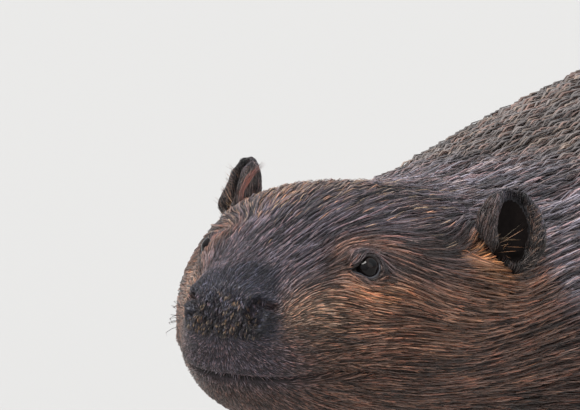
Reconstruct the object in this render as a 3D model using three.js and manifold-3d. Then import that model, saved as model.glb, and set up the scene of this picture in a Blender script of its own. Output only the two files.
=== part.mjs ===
// A North American beaver at life size, swimming: head and back level, forepaws held to the chest,
// hind feet in mid-stroke, the flat tail trailing. It is carried by a plain display stand.
// Millimetres, +Z up, nose towards -Y, the animal's left side towards +X.
// The animal is laid out along its own length: y is the distance behind the nose tip, and z = 0 is the
// level of the waterline. The finished group is then moved so that its origin is under its middle.
import * as THREE from "three";
import { mergeVertices, toCreasedNormals } from "three/addons/utils/BufferGeometryUtils.js";
import Module from "manifold-3d";

const wasm = await Module();
wasm.setup();

// Driving dimensions
const BODY_LENGTH = 1095; // nose tip to tail tip
const BLADE_START = 835; // where the scaly tail begins
const GAP = 0.3; // between neighbouring pieces
const SWIM_HEIGHT = 370; // waterline above the floor

const EYE = { x: 35.7, y: 64, z: 14.6, radius: 5.4 };
const EAR = { x: 62, y: 140, z: 14.5, facing: 42, tilt: 16, deep: 6.2, wide: 15, tall: 17.5 };
const EAR_BOWL = { wide: 8.8, deep: 7, tall: 14.6, back: 1.2, out: 3.4, up: 0.8 };
const BASE = { from: 220, to: 740, wide: 250, thick: 18, corner: 22, chamfer: 2 };
const ROD = { radius: 8, at: [345, 575], collarRadius: 22, collarThick: 6 };

// Profiles of the body: [distance behind the nose, value], joined by a smooth curve
const HALF_WIDTH = profile([
  [0, 12], [2, 16.5], [6, 19.5], [12, 22], [23, 28], [42, 41], [65, 53], [88, 62], [115, 68.5],
  [145, 73], [180, 78], [220, 88], [270, 104], [330, 123], [400, 138], [480, 148], [545, 149],
  [610, 139], [670, 114], [725, 80], [770, 54], [805, 41], [BLADE_START, 37], [875, 45], [930, 55],
  [985, 60], [1035, 58], [1068, 47], [1086, 29], [1093, 14], [BODY_LENGTH, 5],
]);
const TOP = profile([
  [0, 13], [2, 17], [6, 19.8], [12, 21.8], [20, 23.4], [40, 26.8], [65, 30.5], [90, 33.5], [118, 33],
  [145, 28], [170, 22.5], [205, 16], [250, 8], [310, 2], [400, -2], [480, -4], [550, -7],
  [620, -13], [680, -21], [730, -28], [775, -34], [BLADE_START, -38.5], [880, -43], [960, -47],
  [1050, -51], [BODY_LENGTH, -54],
]);
const BOTTOM = profile([
  [0, -3], [2, -10], [6, -18], [12, -27], [20, -36], [30, -43], [50, -53], [75, -63], [100, -72],
  [130, -83], [160, -97], [200, -118], [250, -149], [310, -180], [380, -202], [450, -213],
  [520, -213], [580, -201], [640, -175], [690, -141], [740, -103], [780, -78], [BLADE_START, -62],
  [880, -58], [960, -59], [1050, -60], [BODY_LENGTH, -58],
]);
const WIDEST = profile([
  [0, 4], [12, -2], [30, -12], [60, -15], [100, -18], [150, -26], [220, -44], [300, -66], [400, -82],
  [500, -87], [600, -81], [700, -64], [780, -51], [BLADE_START, -48], [960, -53], [BODY_LENGTH, -56],
]);
// How square the section is above and below its widest line: 2 is an ellipse
const SQUARE_ABOVE = profile([[0, 2.4], [15, 2.3], [35, 2.05], [62, 1.95], [95, 2], [140, 2.1], [1095, 2.1]]);
const SQUARE_BELOW = profile([[0, 2.4], [30, 2.3], [110, 2.2], [400, 2.4], [640, 2.3], [1095, 2.1]]);
const SIDES = 24; // facets around the body

// Swellings and hollows on both sides of the head: where, how much, how far they spread
const RELIEF = [
  { name: "brow", x: 31, y: 58, z: 24, rise: 4.0, spread: 11 },
  { name: "behind the eye", x: 45, y: 93, z: 20, rise: 3.8, spread: 15 },
  { name: "eye hollow", x: 40, y: 58, z: 9, rise: -1.8, spread: 9 },
  { name: "nostril wing", x: 18, y: 7, z: 11, rise: 1.3, spread: 6 },
  { name: "behind the nose", x: 21, y: 25, z: 14, rise: -1.8, spread: 9 },
  { name: "upper lip", x: 25, y: 20, z: -12, rise: 2.4, spread: 12 },
  { name: "side of the crown", x: 38, y: 112, z: 26, rise: 2.2, spread: 20 },
  { name: "cheek", x: 60, y: 86, z: -20, rise: 2.4, spread: 22 },
  { name: "shoulder", x: 92, y: 272, z: -80, rise: 8, spread: 48 },
  { name: "haunch", x: 134, y: 596, z: -104, rise: 10, spread: 66 },
];

// A monotone cubic curve through [place, value] pairs, which doesn't swing past them
function profile(pairs) {
  const slope = pairs.slice(1).map(([x, v], i) => (v - pairs[i][1]) / (x - pairs[i][0]));
  const tangent = pairs.map((_, i) => {
    const before = slope[Math.max(0, i - 1)];
    const after = slope[Math.min(i, slope.length - 1)];
    return before * after <= 0 ? 0 : (2 * before * after) / (before + after);
  });
  return (x) => {
    let i = pairs.findIndex(([next]) => next > x) - 1;
    if (x <= pairs[0][0]) i = 0;
    else if (i < 0) i = pairs.length - 2;
    const [[x0, v0], [x1, v1]] = [pairs[i], pairs[i + 1]];
    const width = x1 - x0;
    const t = THREE.MathUtils.clamp((x - x0) / width, 0, 1);
    const lift = tangent[i] * width * t * (1 - t) ** 2 - tangent[i + 1] * width * t * t * (1 - t);
    return THREE.MathUtils.lerp(v0, v1, t * t * (3 - 2 * t)) + lift;
  };
}

// A closed mesh from rings of points, each ring turning the same way, with flat ends
function skinOver(rings) {
  const sides = rings[0].length;
  const points = rings.flat();
  const faces = [];
  for (let r = 0; r + 1 < rings.length; r++)
    for (let k = 0; k < sides; k++) {
      const a = r * sides + k;
      const b = r * sides + ((k + 1) % sides);
      faces.push(a, b, b + sides, a, b + sides, a + sides);
    }
  const last = (rings.length - 1) * sides;
  for (let k = 1; k + 1 < sides; k++) {
    faces.push(0, k + 1, k);
    faces.push(last, last + k, last + k + 1);
  }
  return new THREE.BufferGeometry().setFromPoints(points).setIndex(faces);
}

// A point on the body's section at y; grow stands it off the surface
function bodyPoint(y, angle, grow) {
  const across = Math.cos(angle);
  const up = Math.sin(angle);
  const widest = WIDEST(y);
  const height = up >= 0 ? TOP(y) - widest : widest - BOTTOM(y);
  const power = 2 / (up >= 0 ? SQUARE_ABOVE(y) : SQUARE_BELOW(y));
  const half = HALF_WIDTH(y);
  const point = new THREE.Vector3(
    Math.sign(across) * (half + grow) * Math.abs(across) ** power,
    y,
    widest + Math.sign(up) * (height + grow) * Math.abs(up) ** power,
  );
  const outward = new THREE.Vector3(across, 0, up);
  for (const swell of RELIEF) {
    const away = Math.hypot(Math.abs(point.x) - swell.x, point.y - swell.y, point.z - swell.z);
    point.addScaledVector(outward, swell.rise * Math.exp(-((away / swell.spread) ** 2)));
  }
  return point;
}

// A length of the body from one y to another; ease gathers the rings towards a rounded end
function bodyLength(from, to, rings, sides, grow = 0, ease = (t) => t) {
  const made = [];
  for (let r = 0; r <= rings; r++) {
    const y = THREE.MathUtils.lerp(from, to, ease(r / rings));
    const ring = [];
    for (let k = 0; k < sides; k++) ring.push(bodyPoint(y, (-2 * Math.PI * k) / sides, grow));
    made.push(ring);
  }
  return skinOver(made);
}

// A limb: joints of {at: [x, y, z], wide, thick} joined by a smooth curve, with rounded ends.
// wide is measured along the direction across, as near square to the limb as that allows.
function limb(joints, { sides, rings, across = [1, 0, 0], grow = 0, ends = 1 }) {
  const curve = new THREE.CatmullRomCurve3(joints.map((j) => new THREE.Vector3(...j.at)), false, "centripetal");
  const spans = joints.length - 1;
  const blend = (key, t) => {
    const i = Math.min(spans - 1, Math.floor(t * spans));
    const share = THREE.MathUtils.smoothstep(t * spans - i, 0, 1) * 0.5 + (t * spans - i) * 0.5;
    return THREE.MathUtils.lerp(joints[i][key], joints[i + 1][key], share) + grow;
  };
  const made = [];
  const addRing = (t, shrink, shift) => {
    const along = curve.getTangent(t);
    const side = new THREE.Vector3(...across).addScaledVector(along, -along.dot(new THREE.Vector3(...across)));
    side.normalize();
    const front = new THREE.Vector3().crossVectors(along, side);
    const centre = curve.getPoint(t).addScaledVector(along, shift);
    const ring = [];
    for (let k = 0; k < sides; k++) {
      const angle = (2 * Math.PI * k) / sides;
      ring.push(
        centre
          .clone()
          .addScaledVector(side, Math.cos(angle) * blend("wide", t) * shrink)
          .addScaledVector(front, Math.sin(angle) * blend("thick", t) * shrink),
      );
    }
    made.push(ring);
  };
  const roundEnd = (t, sign) => {
    const radius = Math.min(blend("wide", t), blend("thick", t));
    const steps = [...Array(ends).keys()].map((i) => ((i + 0.6) / (ends + 0.2)) * (Math.PI / 2));
    if (sign < 0) steps.reverse();
    for (const a of steps) addRing(t, Math.cos(a), sign * Math.sin(a) * radius);
  };
  roundEnd(0, -1);
  for (let r = 0; r <= rings; r++) addRing(r / rings, 1, 0);
  roundEnd(1, 1);
  return skinOver(made);
}

function ellipsoid(wide, deep, tall, around = 20, down = 12) {
  return new THREE.SphereGeometry(1, around, down).scale(wide, deep, tall);
}

// Geometry to a manifold-3d solid, and back to geometry
function solid(geometry) {
  const plain = geometry.clone();
  plain.deleteAttribute("normal");
  plain.deleteAttribute("uv");
  const merged = mergeVertices(plain, 1e-3);
  return new wasm.Manifold(
    new wasm.Mesh({
      numProp: 3,
      vertProperties: merged.attributes.position.array,
      triVerts: new Uint32Array(merged.index.array),
    }),
  );
}

function geometryOf(made) {
  const mesh = made.getMesh();
  const geometry = new THREE.BufferGeometry();
  geometry.setAttribute("position", new THREE.BufferAttribute(Float32Array.from(mesh.vertProperties), 3));
  geometry.setIndex(new THREE.BufferAttribute(Uint32Array.from(mesh.triVerts), 1));
  return geometry;
}

// The largest of the pieces that a cut leaves
const largest = (made) => made.decompose().sort((a, b) => b.volume() - a.volume())[0];
const joined = (solids) => solids.reduce((a, b) => a.add(b));
const cutBy = (made, ...cutters) => largest(cutters.reduce((a, b) => a.subtract(b), made));

const FINISH = {
  fur: { color: 0x6b5346, roughness: 0.6 },
  ear: { color: 0x3f3836, roughness: 0.6 },
  nose: { color: 0x38343a, roughness: 0.45 },
  eye: { color: 0x0c0807, roughness: 0.08 },
  foot: { color: 0x3a332f, roughness: 0.55 },
  claw: { color: 0x2c241d, roughness: 0.35 },
  tail: { color: 0x35302e, roughness: 0.5 },
  wood: { color: 0x4a3322, roughness: 0.5 },
  steel: { color: 0x9a9c9e, roughness: 0.35, metalness: 1 },
};
const CREASE = THREE.MathUtils.degToRad(50); // edges sharper than this stay crisp
const beaver = new THREE.Group();

function place(name, finish, made) {
  const mesh = new THREE.Mesh(
    toCreasedNormals(made.isBufferGeometry ? made : geometryOf(made), CREASE),
    new THREE.MeshStandardMaterial({ metalness: 0, ...FINISH[finish] }),
  );
  mesh.name = name;
  beaver.add(mesh);
}

// A side profile in (y, z), drawn out across the body
function acrossBody(outline, half = 120) {
  const shape = new THREE.Shape(outline.map(([y, z]) => new THREE.Vector2(y, z)));
  const geometry = new THREE.ExtrudeGeometry(shape, { depth: 2 * half, bevelEnabled: false });
  geometry.rotateX(Math.PI / 2).rotateZ(Math.PI / 2).translate(-half, 0, 0);
  return solid(geometry);
}

// Head: one length of the body, parted into nose pad, head and lower jaw by thin cuts
const HEAD_END = 150;
const bluntStart = (t) => t ** 1.5;
const HEAD_RINGS = 14;
const headWhole = solid(bodyLength(0, HEAD_END, HEAD_RINGS, SIDES, 0, bluntStart));
const headGrown = solid(bodyLength(0, HEAD_END, HEAD_RINGS, SIDES, GAP, bluntStart));
const noseOutline = (g) => [[-9, -1.5 - g], [9.5 + g, -1.5 - g], [12.5 + g, 40], [-9, 40]];
const jawOutline = (g) => [[-9, -25 + g], [36, -23 + g], [70 + g, -35 + g], [80 + g, -99], [-9, -99]];

function nostril(side) {
  const pocket = ellipsoid(2.8, 4.2, 3.6, 7, 4).rotateZ(side * 0.5).translate(side * 18.6, 6, 9.5);
  const slit = ellipsoid(2.4, 1.9, 4.6, 7, 4).rotateX(-0.35).translate(side * 17, 3, 6.2);
  return joined([solid(pocket), solid(slit)]);
}

const eyeBall = (side, radius) =>
  solid(new THREE.SphereGeometry(radius, 12, 6).rotateX(Math.PI / 2).translate(side * EYE.x, EYE.y, EYE.z));

function buildHead() {
  const nose = headWhole.intersect(acrossBody(noseOutline(0)));
  place("nose", "nose", cutBy(nose, nostril(1), nostril(-1)));
  const jaw = headWhole.intersect(acrossBody(jawOutline(0)));
  place("lower_jaw", "fur", largest(jaw));
  const sockets = [1, -1].map((side) => eyeBall(side, EYE.radius + GAP));
  place("head", "fur", cutBy(headWhole, acrossBody(noseOutline(GAP)), acrossBody(jawOutline(GAP)), ...sockets));
}

function buildEye(name, side) {
  place(name, "eye", eyeBall(side, EYE.radius));
}

// Flares the lower half of an ear, or of its hollow, out and back into a lobe
function lobed(geometry, side) {
  const at = geometry.attributes.position;
  for (let i = 0; i < at.count; i++) {
    const low = THREE.MathUtils.smoothstep(-at.getZ(i), 1, EAR.tall * 0.8);
    at.setXYZ(i, at.getX(i) + side * 1.5 * low, at.getY(i) - 4 * low, at.getZ(i));
  }
  return geometry;
}

// Ear: a shell with its mouth facing forwards and out, a broad fold along its front edge, and its
// foot cut to the head
function buildEar(name, side) {
  const turn = (g) =>
    g
      .rotateX(THREE.MathUtils.degToRad(-EAR.tilt))
      .rotateZ(THREE.MathUtils.degToRad(side * EAR.facing))
      .translate(side * EAR.x, EAR.y, EAR.z);
  const outer = solid(turn(lobed(ellipsoid(EAR.wide, EAR.deep, EAR.tall, 12, 8), side)));
  const bowl = ellipsoid(EAR_BOWL.wide, EAR_BOWL.deep, EAR_BOWL.tall, 10, 6).translate(
    side * EAR_BOWL.back,
    -EAR_BOWL.out,
    EAR_BOWL.up,
  );
  place(name, "ear", cutBy(outer, solid(turn(lobed(bowl, side))), headGrown, neckGrown));
}

// Trunk: lengths of the same body
const NECK_END = 215;
const CHEST_END = 345;
const BELLY_END = 560;
const RUMP_END = 765;
const neckGrown = solid(bodyLength(HEAD_END, NECK_END, 3, SIDES, GAP));
const trunkGrown = joined([
  neckGrown,
  solid(bodyLength(NECK_END, CHEST_END, 5, SIDES, GAP)),
  solid(bodyLength(CHEST_END, BELLY_END, 6, SIDES, GAP)),
  solid(bodyLength(BELLY_END, RUMP_END, 6, SIDES, GAP)),
]);

function buildTrunk() {
  place("neck", "fur", bodyLength(HEAD_END + GAP, NECK_END, 3, SIDES));
  place("chest", "fur", bodyLength(NECK_END + GAP, CHEST_END, 5, SIDES));
  place("belly", "fur", bodyLength(CHEST_END + GAP, BELLY_END, 6, SIDES));
  place("rump", "fur", bodyLength(BELLY_END + GAP, RUMP_END, 6, SIDES));
  place("tail_root", "fur", bodyLength(RUMP_END + GAP, BLADE_START, 2, SIDES));
  const roundTip = (t) => Math.sin((t * Math.PI) / 2) ** 0.9;
  place("tail_blade", "tail", bodyLength(BLADE_START + GAP, BODY_LENGTH, 8, 18, 0, roundTip));
}

// Claw: a curved horn from a toe's end, flattened from side to side
function claw(root, forward, down, length, radius) {
  const step = (share, drop, size) => ({
    at: root.clone().addScaledVector(forward, length * share).addScaledVector(down, length * drop).toArray(),
    wide: radius * size * 0.8,
    thick: radius * size,
  });
  const across = new THREE.Vector3().crossVectors(forward, down).toArray();
  return limb([step(0, 0, 1), step(0.55, 0.08, 0.75), step(1, 0.36, 0.16)], { sides: 5, rings: 2, ends: 0, across });
}

// A digit along its own little chain of points, and the claw at its end
function digit(points, radius) {
  const joints = points.map((p, i) => {
    const size = radius * (1 - 0.09 * i);
    return { at: p.toArray(), wide: size, thick: size * 0.9 };
  });
  return limb(joints, { sides: 5, rings: 2, across: [0.3, 0.2, 1] });
}

// Foreleg: folded under the chest, the paw a loose fist beside the throat
const FORELEG = {
  shoulder: { at: [66, 252, -92], wide: 38, thick: 44 },
  elbow: { at: [76, 300, -146], wide: 25, thick: 26 },
  midForearm: { at: [70, 262, -160], wide: 20, thick: 22 },
  wrist: { at: [54, 222, -155], wide: 14.5, thick: 15 },
  palm: { at: [47, 204, -149], wide: 18, thick: 11 },
  fingers: { count: 5, spread: 6.6, radius: 5.2, length: 17, clawLength: 15 },
};

function mirrored(joint, side) {
  return { ...joint, at: [joint.at[0] * side, joint.at[1], joint.at[2]] };
}

function buildForeleg(word, side) {
  const joint = (key) => mirrored(FORELEG[key], side);
  const upperJoints = [joint("shoulder"), joint("elbow")];
  const lowerJoints = [joint("elbow"), joint("midForearm"), joint("wrist")];
  const turned = { sides: 9, across: [1, 0.3, 0.2] };
  place(`${word}_upper_arm`, "fur", cutBy(solid(limb(upperJoints, { ...turned, rings: 3 })), trunkGrown));
  const upperGrown = solid(limb(upperJoints, { ...turned, rings: 3, grow: GAP }));
  place(`${word}_forearm`, "fur", cutBy(solid(limb(lowerJoints, { ...turned, rings: 4 })), upperGrown, trunkGrown));
  const forearmGrown = solid(limb(lowerJoints, { ...turned, rings: 4, grow: GAP }));

  const palm = new THREE.Vector3(...joint("palm").at);
  const flat = [1, -0.5 * side, 0.15 * side];
  const hand = [solid(limb([joint("wrist"), joint("palm")], { sides: 8, rings: 1, across: flat }))];
  const across = new THREE.Vector3(...flat).normalize();
  const ahead = new THREE.Vector3(-0.2 * side, -0.97, 0.1).normalize();
  const down = new THREE.Vector3(0, 0.25, -0.97).normalize();
  const { count, spread, radius, length, clawLength } = FORELEG.fingers;
  const claws = [];
  for (let i = 0; i < count; i++) {
    const place01 = i - (count - 1) / 2;
    const size = length * (1 - 0.055 * place01 ** 2);
    const knuckle = palm.clone().addScaledVector(across, place01 * spread).addScaledVector(ahead, 2);
    const bend = knuckle.clone().addScaledVector(ahead, size * 0.85);
    const tip = bend.clone().addScaledVector(down, size * 0.8).addScaledVector(ahead, size * 0.2);
    hand.push(solid(digit([knuckle, bend, tip], radius * (1 - 0.04 * place01 ** 2))));
    claws.push(claw(tip.clone().addScaledVector(down, 3.6), down, ahead.clone().negate(), clawLength, 2.5));
  }
  const paw = joined(hand);
  place(`${word}_forepaw`, "foot", cutBy(paw, forearmGrown, trunkGrown));
  const pawGrown = solid(geometryOf(paw));
  claws.forEach((c, i) => place(`${word}_forepaw_claw_${i + 1}`, "claw", cutBy(solid(c), pawGrown)));
}

// Hind leg: each side at its own moment of the stroke
const THIGH = { hipWide: 60, hipThick: 76, kneeWide: 40, kneeThick: 50 };
const SHANK = { calfWide: 28, calfThick: 36, ankleWide: 16, ankleThick: 19 };
const FOOT = { heel: 17, sole: 62, wide: 21, thick: 12, web: 2.6, toeRadius: 6.6, clawLength: 17 };
const TOES = [
  { fan: -27, length: 62 }, { fan: -13, length: 82 }, { fan: 0, length: 96 }, { fan: 12, length: 100 },
  { fan: 25, length: 88 },
];
const STROKES = {
  left: { side: 1, hip: [84, 606, -98], knee: [112, 578, -158], ankle: [109.4, 686, -188], down: 14, out: 6 },
  right: { side: -1, hip: [84, 606, -98], knee: [112, 566, -160], ankle: [114.5, 654, -202], down: 47, out: 6 },
};

function buildHindLeg(word) {
  const { side, hip, knee, ankle, down, out } = STROKES[word];
  const at = ([x, y, z]) => [x * side, y, z];
  const hipJoint = { at: at(hip), wide: THIGH.hipWide, thick: THIGH.hipThick };
  const kneeJoint = { at: at(knee), wide: THIGH.kneeWide, thick: THIGH.kneeThick };
  const calf = knee.map((v, i) => THREE.MathUtils.lerp(v, ankle[i], 0.42));
  const shankJoints = [
    { ...kneeJoint, wide: kneeJoint.wide - 4, thick: kneeJoint.thick - 4 },
    { at: at(calf), wide: SHANK.calfWide, thick: SHANK.calfThick },
    { at: at(ankle), wide: SHANK.ankleWide, thick: SHANK.ankleThick },
  ];
  const thighShape = { sides: 12, rings: 4, across: [1, 0, 0.2 * side] };
  const shankShape = { sides: 10, rings: 3, across: [1, 0, 0] };
  place(`${word}_thigh`, "fur", cutBy(solid(limb([hipJoint, kneeJoint], thighShape)), trunkGrown));
  const thighGrown = solid(limb([hipJoint, kneeJoint], { ...thighShape, grow: GAP }));
  place(`${word}_shank`, "fur", cutBy(solid(limb(shankJoints, shankShape)), thighGrown, trunkGrown));
  const shankGrown = solid(limb(shankJoints, { ...shankShape, grow: GAP }));

  // The foot is laid flat, toes towards +Y and its back up, then turned to its stroke
  const turn = new THREE.Matrix4()
    .makeTranslation(...at(ankle))
    .multiply(new THREE.Matrix4().makeRotationZ(THREE.MathUtils.degToRad(-out * side)))
    .multiply(new THREE.Matrix4().makeRotationX(THREE.MathUtils.degToRad(-down)));
  const sole = FOOT.sole;
  const bones = [
    limb(
      [
        { at: [0, -FOOT.heel, -2], wide: 13, thick: 12 },
        { at: [0, sole, -1], wide: FOOT.wide + 3, thick: FOOT.thick - 2 },
      ],
      { sides: 8, rings: 2 },
    ),
  ];
  const web = new THREE.Shape();
  web.moveTo(-14 * side, sole * 0.55);
  const claws = [];
  TOES.forEach(({ fan, length }, i) => {
    const angle = THREE.MathUtils.degToRad(fan);
    const reach = (share, z) =>
      new THREE.Vector3(
        side * ((i - 2) * 8.2 + Math.sin(angle) * length * share),
        sole - 6 + Math.cos(angle) * length * share,
        z,
      );
    bones.push(digit([reach(0, 0), reach(0.5, 2.5), reach(1, -1)], FOOT.toeRadius));
    if (i > 0) {
      const before = TOES[i - 1];
      const middle = THREE.MathUtils.degToRad((fan + before.fan) / 2);
      const short = Math.min(length, before.length) * 0.86;
      web.lineTo(side * ((i - 2.5) * 8.2 + Math.sin(middle) * short), sole - 6 + Math.cos(middle) * short);
    }
    const edge = reach(0.96, 0);
    web.lineTo(edge.x, edge.y);
    const forward = new THREE.Vector3(side * Math.sin(angle), Math.cos(angle), -0.12).normalize();
    const root = reach(1, -0.5).addScaledVector(forward, 3.4);
    claws.push(claw(root, forward, new THREE.Vector3(0, 0, -1), FOOT.clawLength, 3.1));
  });
  web.lineTo(14 * side, sole * 0.55);
  web.closePath();
  const sheet = new THREE.ExtrudeGeometry(web, { depth: FOOT.web, bevelEnabled: false });
  bones.push(sheet.translate(0, 0, -FOOT.web / 2));
  const foot = joined(bones.map((bone) => solid(bone.applyMatrix4(turn))));
  place(`${word}_hind_foot`, "foot", cutBy(foot, shankGrown));
  claws.forEach((c, i) => place(`${word}_hind_claw_${i + 1}`, "claw", cutBy(solid(c.applyMatrix4(turn)), foot)));
}

// Stand: a board on the floor, and two rods with collars up to the chest and the groin
function roundedBoard(wide, long, corner) {
  const [x, y] = [wide / 2, long / 2];
  const board = new THREE.Shape();
  board.moveTo(-x + corner, -y);
  board.lineTo(x - corner, -y).absarc(x - corner, -y + corner, corner, -Math.PI / 2, 0);
  board.lineTo(x, y - corner).absarc(x - corner, y - corner, corner, 0, Math.PI / 2);
  board.lineTo(-x + corner, y).absarc(-x + corner, y - corner, corner, Math.PI / 2, Math.PI);
  board.lineTo(-x, -y + corner).absarc(-x + corner, -y + corner, corner, Math.PI, 1.5 * Math.PI);
  return board;
}

function buildStand() {
  const { from, to, wide, thick, corner, chamfer } = BASE;
  const outline = roundedBoard(wide - 2 * chamfer, to - from - 2 * chamfer, corner);
  const board = new THREE.ExtrudeGeometry(outline, {
    depth: thick - 2 * chamfer,
    bevelSize: chamfer,
    bevelThickness: chamfer,
    bevelSegments: 1,
    curveSegments: 3,
  });
  const boardTop = -SWIM_HEIGHT + thick;
  place("stand_base", "wood", solid(board.translate(0, (from + to) / 2, chamfer - SWIM_HEIGHT)));
  ROD.at.forEach((y, i) => {
    const word = i ? "back" : "front";
    const foot = boardTop + GAP;
    const collarTop = foot + ROD.collarThick;
    const collar = new THREE.CylinderGeometry(ROD.collarRadius - 2, ROD.collarRadius, ROD.collarThick, 16);
    collar.rotateX(Math.PI / 2).translate(0, y, (foot + collarTop) / 2);
    place(`stand_collar_${word}`, "steel", solid(collar));
    const top = BOTTOM(y) + 30;
    const rod = new THREE.CylinderGeometry(ROD.radius, ROD.radius, top - collarTop - GAP, 12);
    rod.rotateX(Math.PI / 2).translate(0, y, (top + collarTop + GAP) / 2);
    place(`stand_rod_${word}`, "steel", cutBy(solid(rod), trunkGrown));
  });
}

buildHead();
for (const [word, side] of [["left", 1], ["right", -1]]) {
  buildEye(`${word}_eye`, side);
  buildEar(`${word}_ear`, side);
  buildForeleg(word, side);
  buildHindLeg(word);
}
buildTrunk();
buildStand();

// The origin is on the floor under the middle of the whole part
const box = new THREE.Box3().setFromObject(beaver);
const middle = box.getCenter(new THREE.Vector3());
beaver.children.forEach((mesh) => mesh.geometry.translate(-middle.x, -middle.y, -box.min.z));

export default beaver;
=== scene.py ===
# A life-size swimming beaver on a display stand: skin, wet coat, eyes, ears, claws and tail.
# Metres, +Z up, nose towards -Y, the animal's left side towards +X.
import itertools
import math

import bpy
import numpy as np
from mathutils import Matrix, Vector
from mathutils.bvhtree import BVHTree
from mathutils.kdtree import KDTree


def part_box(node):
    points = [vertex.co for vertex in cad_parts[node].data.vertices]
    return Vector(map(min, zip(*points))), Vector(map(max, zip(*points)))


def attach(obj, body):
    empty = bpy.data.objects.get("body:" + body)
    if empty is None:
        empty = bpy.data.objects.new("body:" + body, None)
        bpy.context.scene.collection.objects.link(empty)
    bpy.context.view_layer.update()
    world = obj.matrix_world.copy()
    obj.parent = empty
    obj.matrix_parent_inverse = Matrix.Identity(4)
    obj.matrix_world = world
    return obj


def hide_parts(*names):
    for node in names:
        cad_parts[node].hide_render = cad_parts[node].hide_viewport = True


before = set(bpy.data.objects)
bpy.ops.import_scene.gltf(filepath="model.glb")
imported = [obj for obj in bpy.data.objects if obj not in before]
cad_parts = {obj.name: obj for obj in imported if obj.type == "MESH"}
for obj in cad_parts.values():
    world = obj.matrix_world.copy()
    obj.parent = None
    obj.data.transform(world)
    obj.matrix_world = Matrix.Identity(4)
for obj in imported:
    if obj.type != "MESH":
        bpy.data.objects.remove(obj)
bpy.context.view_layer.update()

MM = 0.001
SIDES = {"left": 1, "right": -1}
COAT_SHARE = 1.0  # how much of the coat is grown

# ---- Places. Millimetres across from the midline, behind the nose tip, and above the waterline. ----
EYE_BOX = {word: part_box(f"{word}_eye") for word in SIDES}
EYE_RADIUS = (EYE_BOX["left"][1].x - EYE_BOX["left"][0].x) / 2 / MM
EYE_ABOVE_WATER = 14.6
EYE_CENTRE = {word: np.array((low + high) / 2) for word, (low, high) in EYE_BOX.items()}
MIDLINE = (EYE_CENTRE["left"][0] + EYE_CENTRE["right"][0]) / 2
WATERLINE = EYE_CENTRE["left"][2] - EYE_ABOVE_WATER * MM
ORIGIN = np.array([MIDLINE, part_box("nose")[0].y, WATERLINE])
for word, side in SIDES.items():
    EYE_CENTRE[word] += np.array([-1.30 * side, -0.58, -0.88]) * MM  # as set under the lids


def place(at):
    return ORIGIN + np.asarray(at, float) * MM


def measured(points):
    return (np.asarray(points) - ORIGIN) / MM


EYE = {word: measured(centre) for word, centre in EYE_CENTRE.items()}


def smoothstep(values, low, high):
    t = np.clip((np.asarray(values, float) - low) / (high - low), 0, 1)
    return t * t * (3 - 2 * t)


def fade(values, low, high):
    return 1 - smoothstep(values, low, high)


def hump(values, middle, width):
    """One at the middle, fading over the width on either side."""
    return np.exp(-(((values - middle) / width) ** 2))


def spot(along, high, middle, spread):
    """One at the middle of a patch, fading over the spread."""
    return np.exp(-(((along - middle[0]) / spread[0]) ** 2 + ((high - middle[1]) / spread[1]) ** 2))


def folded(at):
    """The places mirrored onto the animal's left side."""
    return np.stack([np.abs(at[:, 0]), at[:, 1], at[:, 2]], 1)


def bell(at, centre, spread):
    """One at a place on both sides of the body, fading over the spread; in millimetres."""
    return np.exp(-(((folded(at) - centre) / spread) ** 2).sum(1))


def lengths(vectors):
    return np.linalg.norm(vectors, axis=1)


def unit(vectors):
    return vectors / np.maximum(np.linalg.norm(vectors, axis=-1, keepdims=True), 1e-9)


def dots(a, b):
    return (a * b).sum(-1, keepdims=True)


def flat_on(vectors, normals):
    """The vectors laid flat on surfaces with those normals, one long."""
    return unit(vectors - normals * dots(vectors, normals))


# ---- Mesh handling ----
def select(*obs):
    """Selects only these objects, and makes the first one active."""
    bpy.ops.object.select_all(action="DESELECT")
    for ob in obs:
        ob.select_set(True)
    bpy.context.view_layer.objects.active = obs[0]


def in_edit_mode(*steps):
    bpy.ops.object.mode_set(mode="EDIT")
    for operator, settings in steps:
        operator(**settings)
    bpy.ops.object.mode_set(mode="OBJECT")


def with_modifier(ob, kind, **settings):
    select(ob)
    modifier = ob.modifiers.new(kind.title(), kind)
    for key, value in settings.items():
        setattr(modifier, key, value)
    bpy.ops.object.modifier_apply(modifier=modifier.name)


def joined(obs, name):
    select(*obs)
    if len(obs) > 1:
        bpy.ops.object.join()
    obs[0].name = obs[0].data.name = name
    return obs[0]


def in_scene(name, data):
    ob = bpy.data.objects.new(name, data)
    bpy.context.scene.collection.objects.link(ob)
    return ob


def merged_copy(names, new_name):
    """The named CAD nodes as one object with a mesh of its own, its corners merged."""
    whole = joined([in_scene(new_name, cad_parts[name].data.copy()) for name in names], new_name)
    in_edit_mode((bpy.ops.mesh.select_all, {"action": "SELECT"}),
                 (bpy.ops.mesh.remove_doubles, {"threshold": 1e-5}))
    whole.data.materials.clear()
    return whole


def read_all(items, what, width=1, kind=float):
    """One property of every vertex, edge, loop or face, in rows of that width."""
    values = np.empty(len(items) * width, kind)
    items.foreach_get(what, values)
    return values.reshape(-1, width) if width > 1 else values


def points_of(ob):
    return read_all(ob.data.vertices, "co", 3)


def normals_of(ob):
    return read_all(ob.data.vertex_normals, "vector", 3)


def triangles_of(ob):
    ob.data.calc_loop_triangles()
    return read_all(ob.data.loop_triangles, "vertices", 3, int)


def faces_inside(ob, inside):
    """Which faces have all their corners inside."""
    corners = read_all(ob.data.loops, "vertex_index", kind=int)
    starts = read_all(ob.data.polygons, "loop_start", kind=int)
    return np.minimum.reduceat(inside[corners].astype(int), starts) > 0


def move_points(ob, points):
    ob.data.vertices.foreach_set("co", np.ascontiguousarray(points, float).ravel())
    ob.data.update()


def smooth_shaded(ob):
    ob.data.polygons.foreach_set("use_smooth", np.ones(len(ob.data.polygons), bool))
    ob.data.update()


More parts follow.
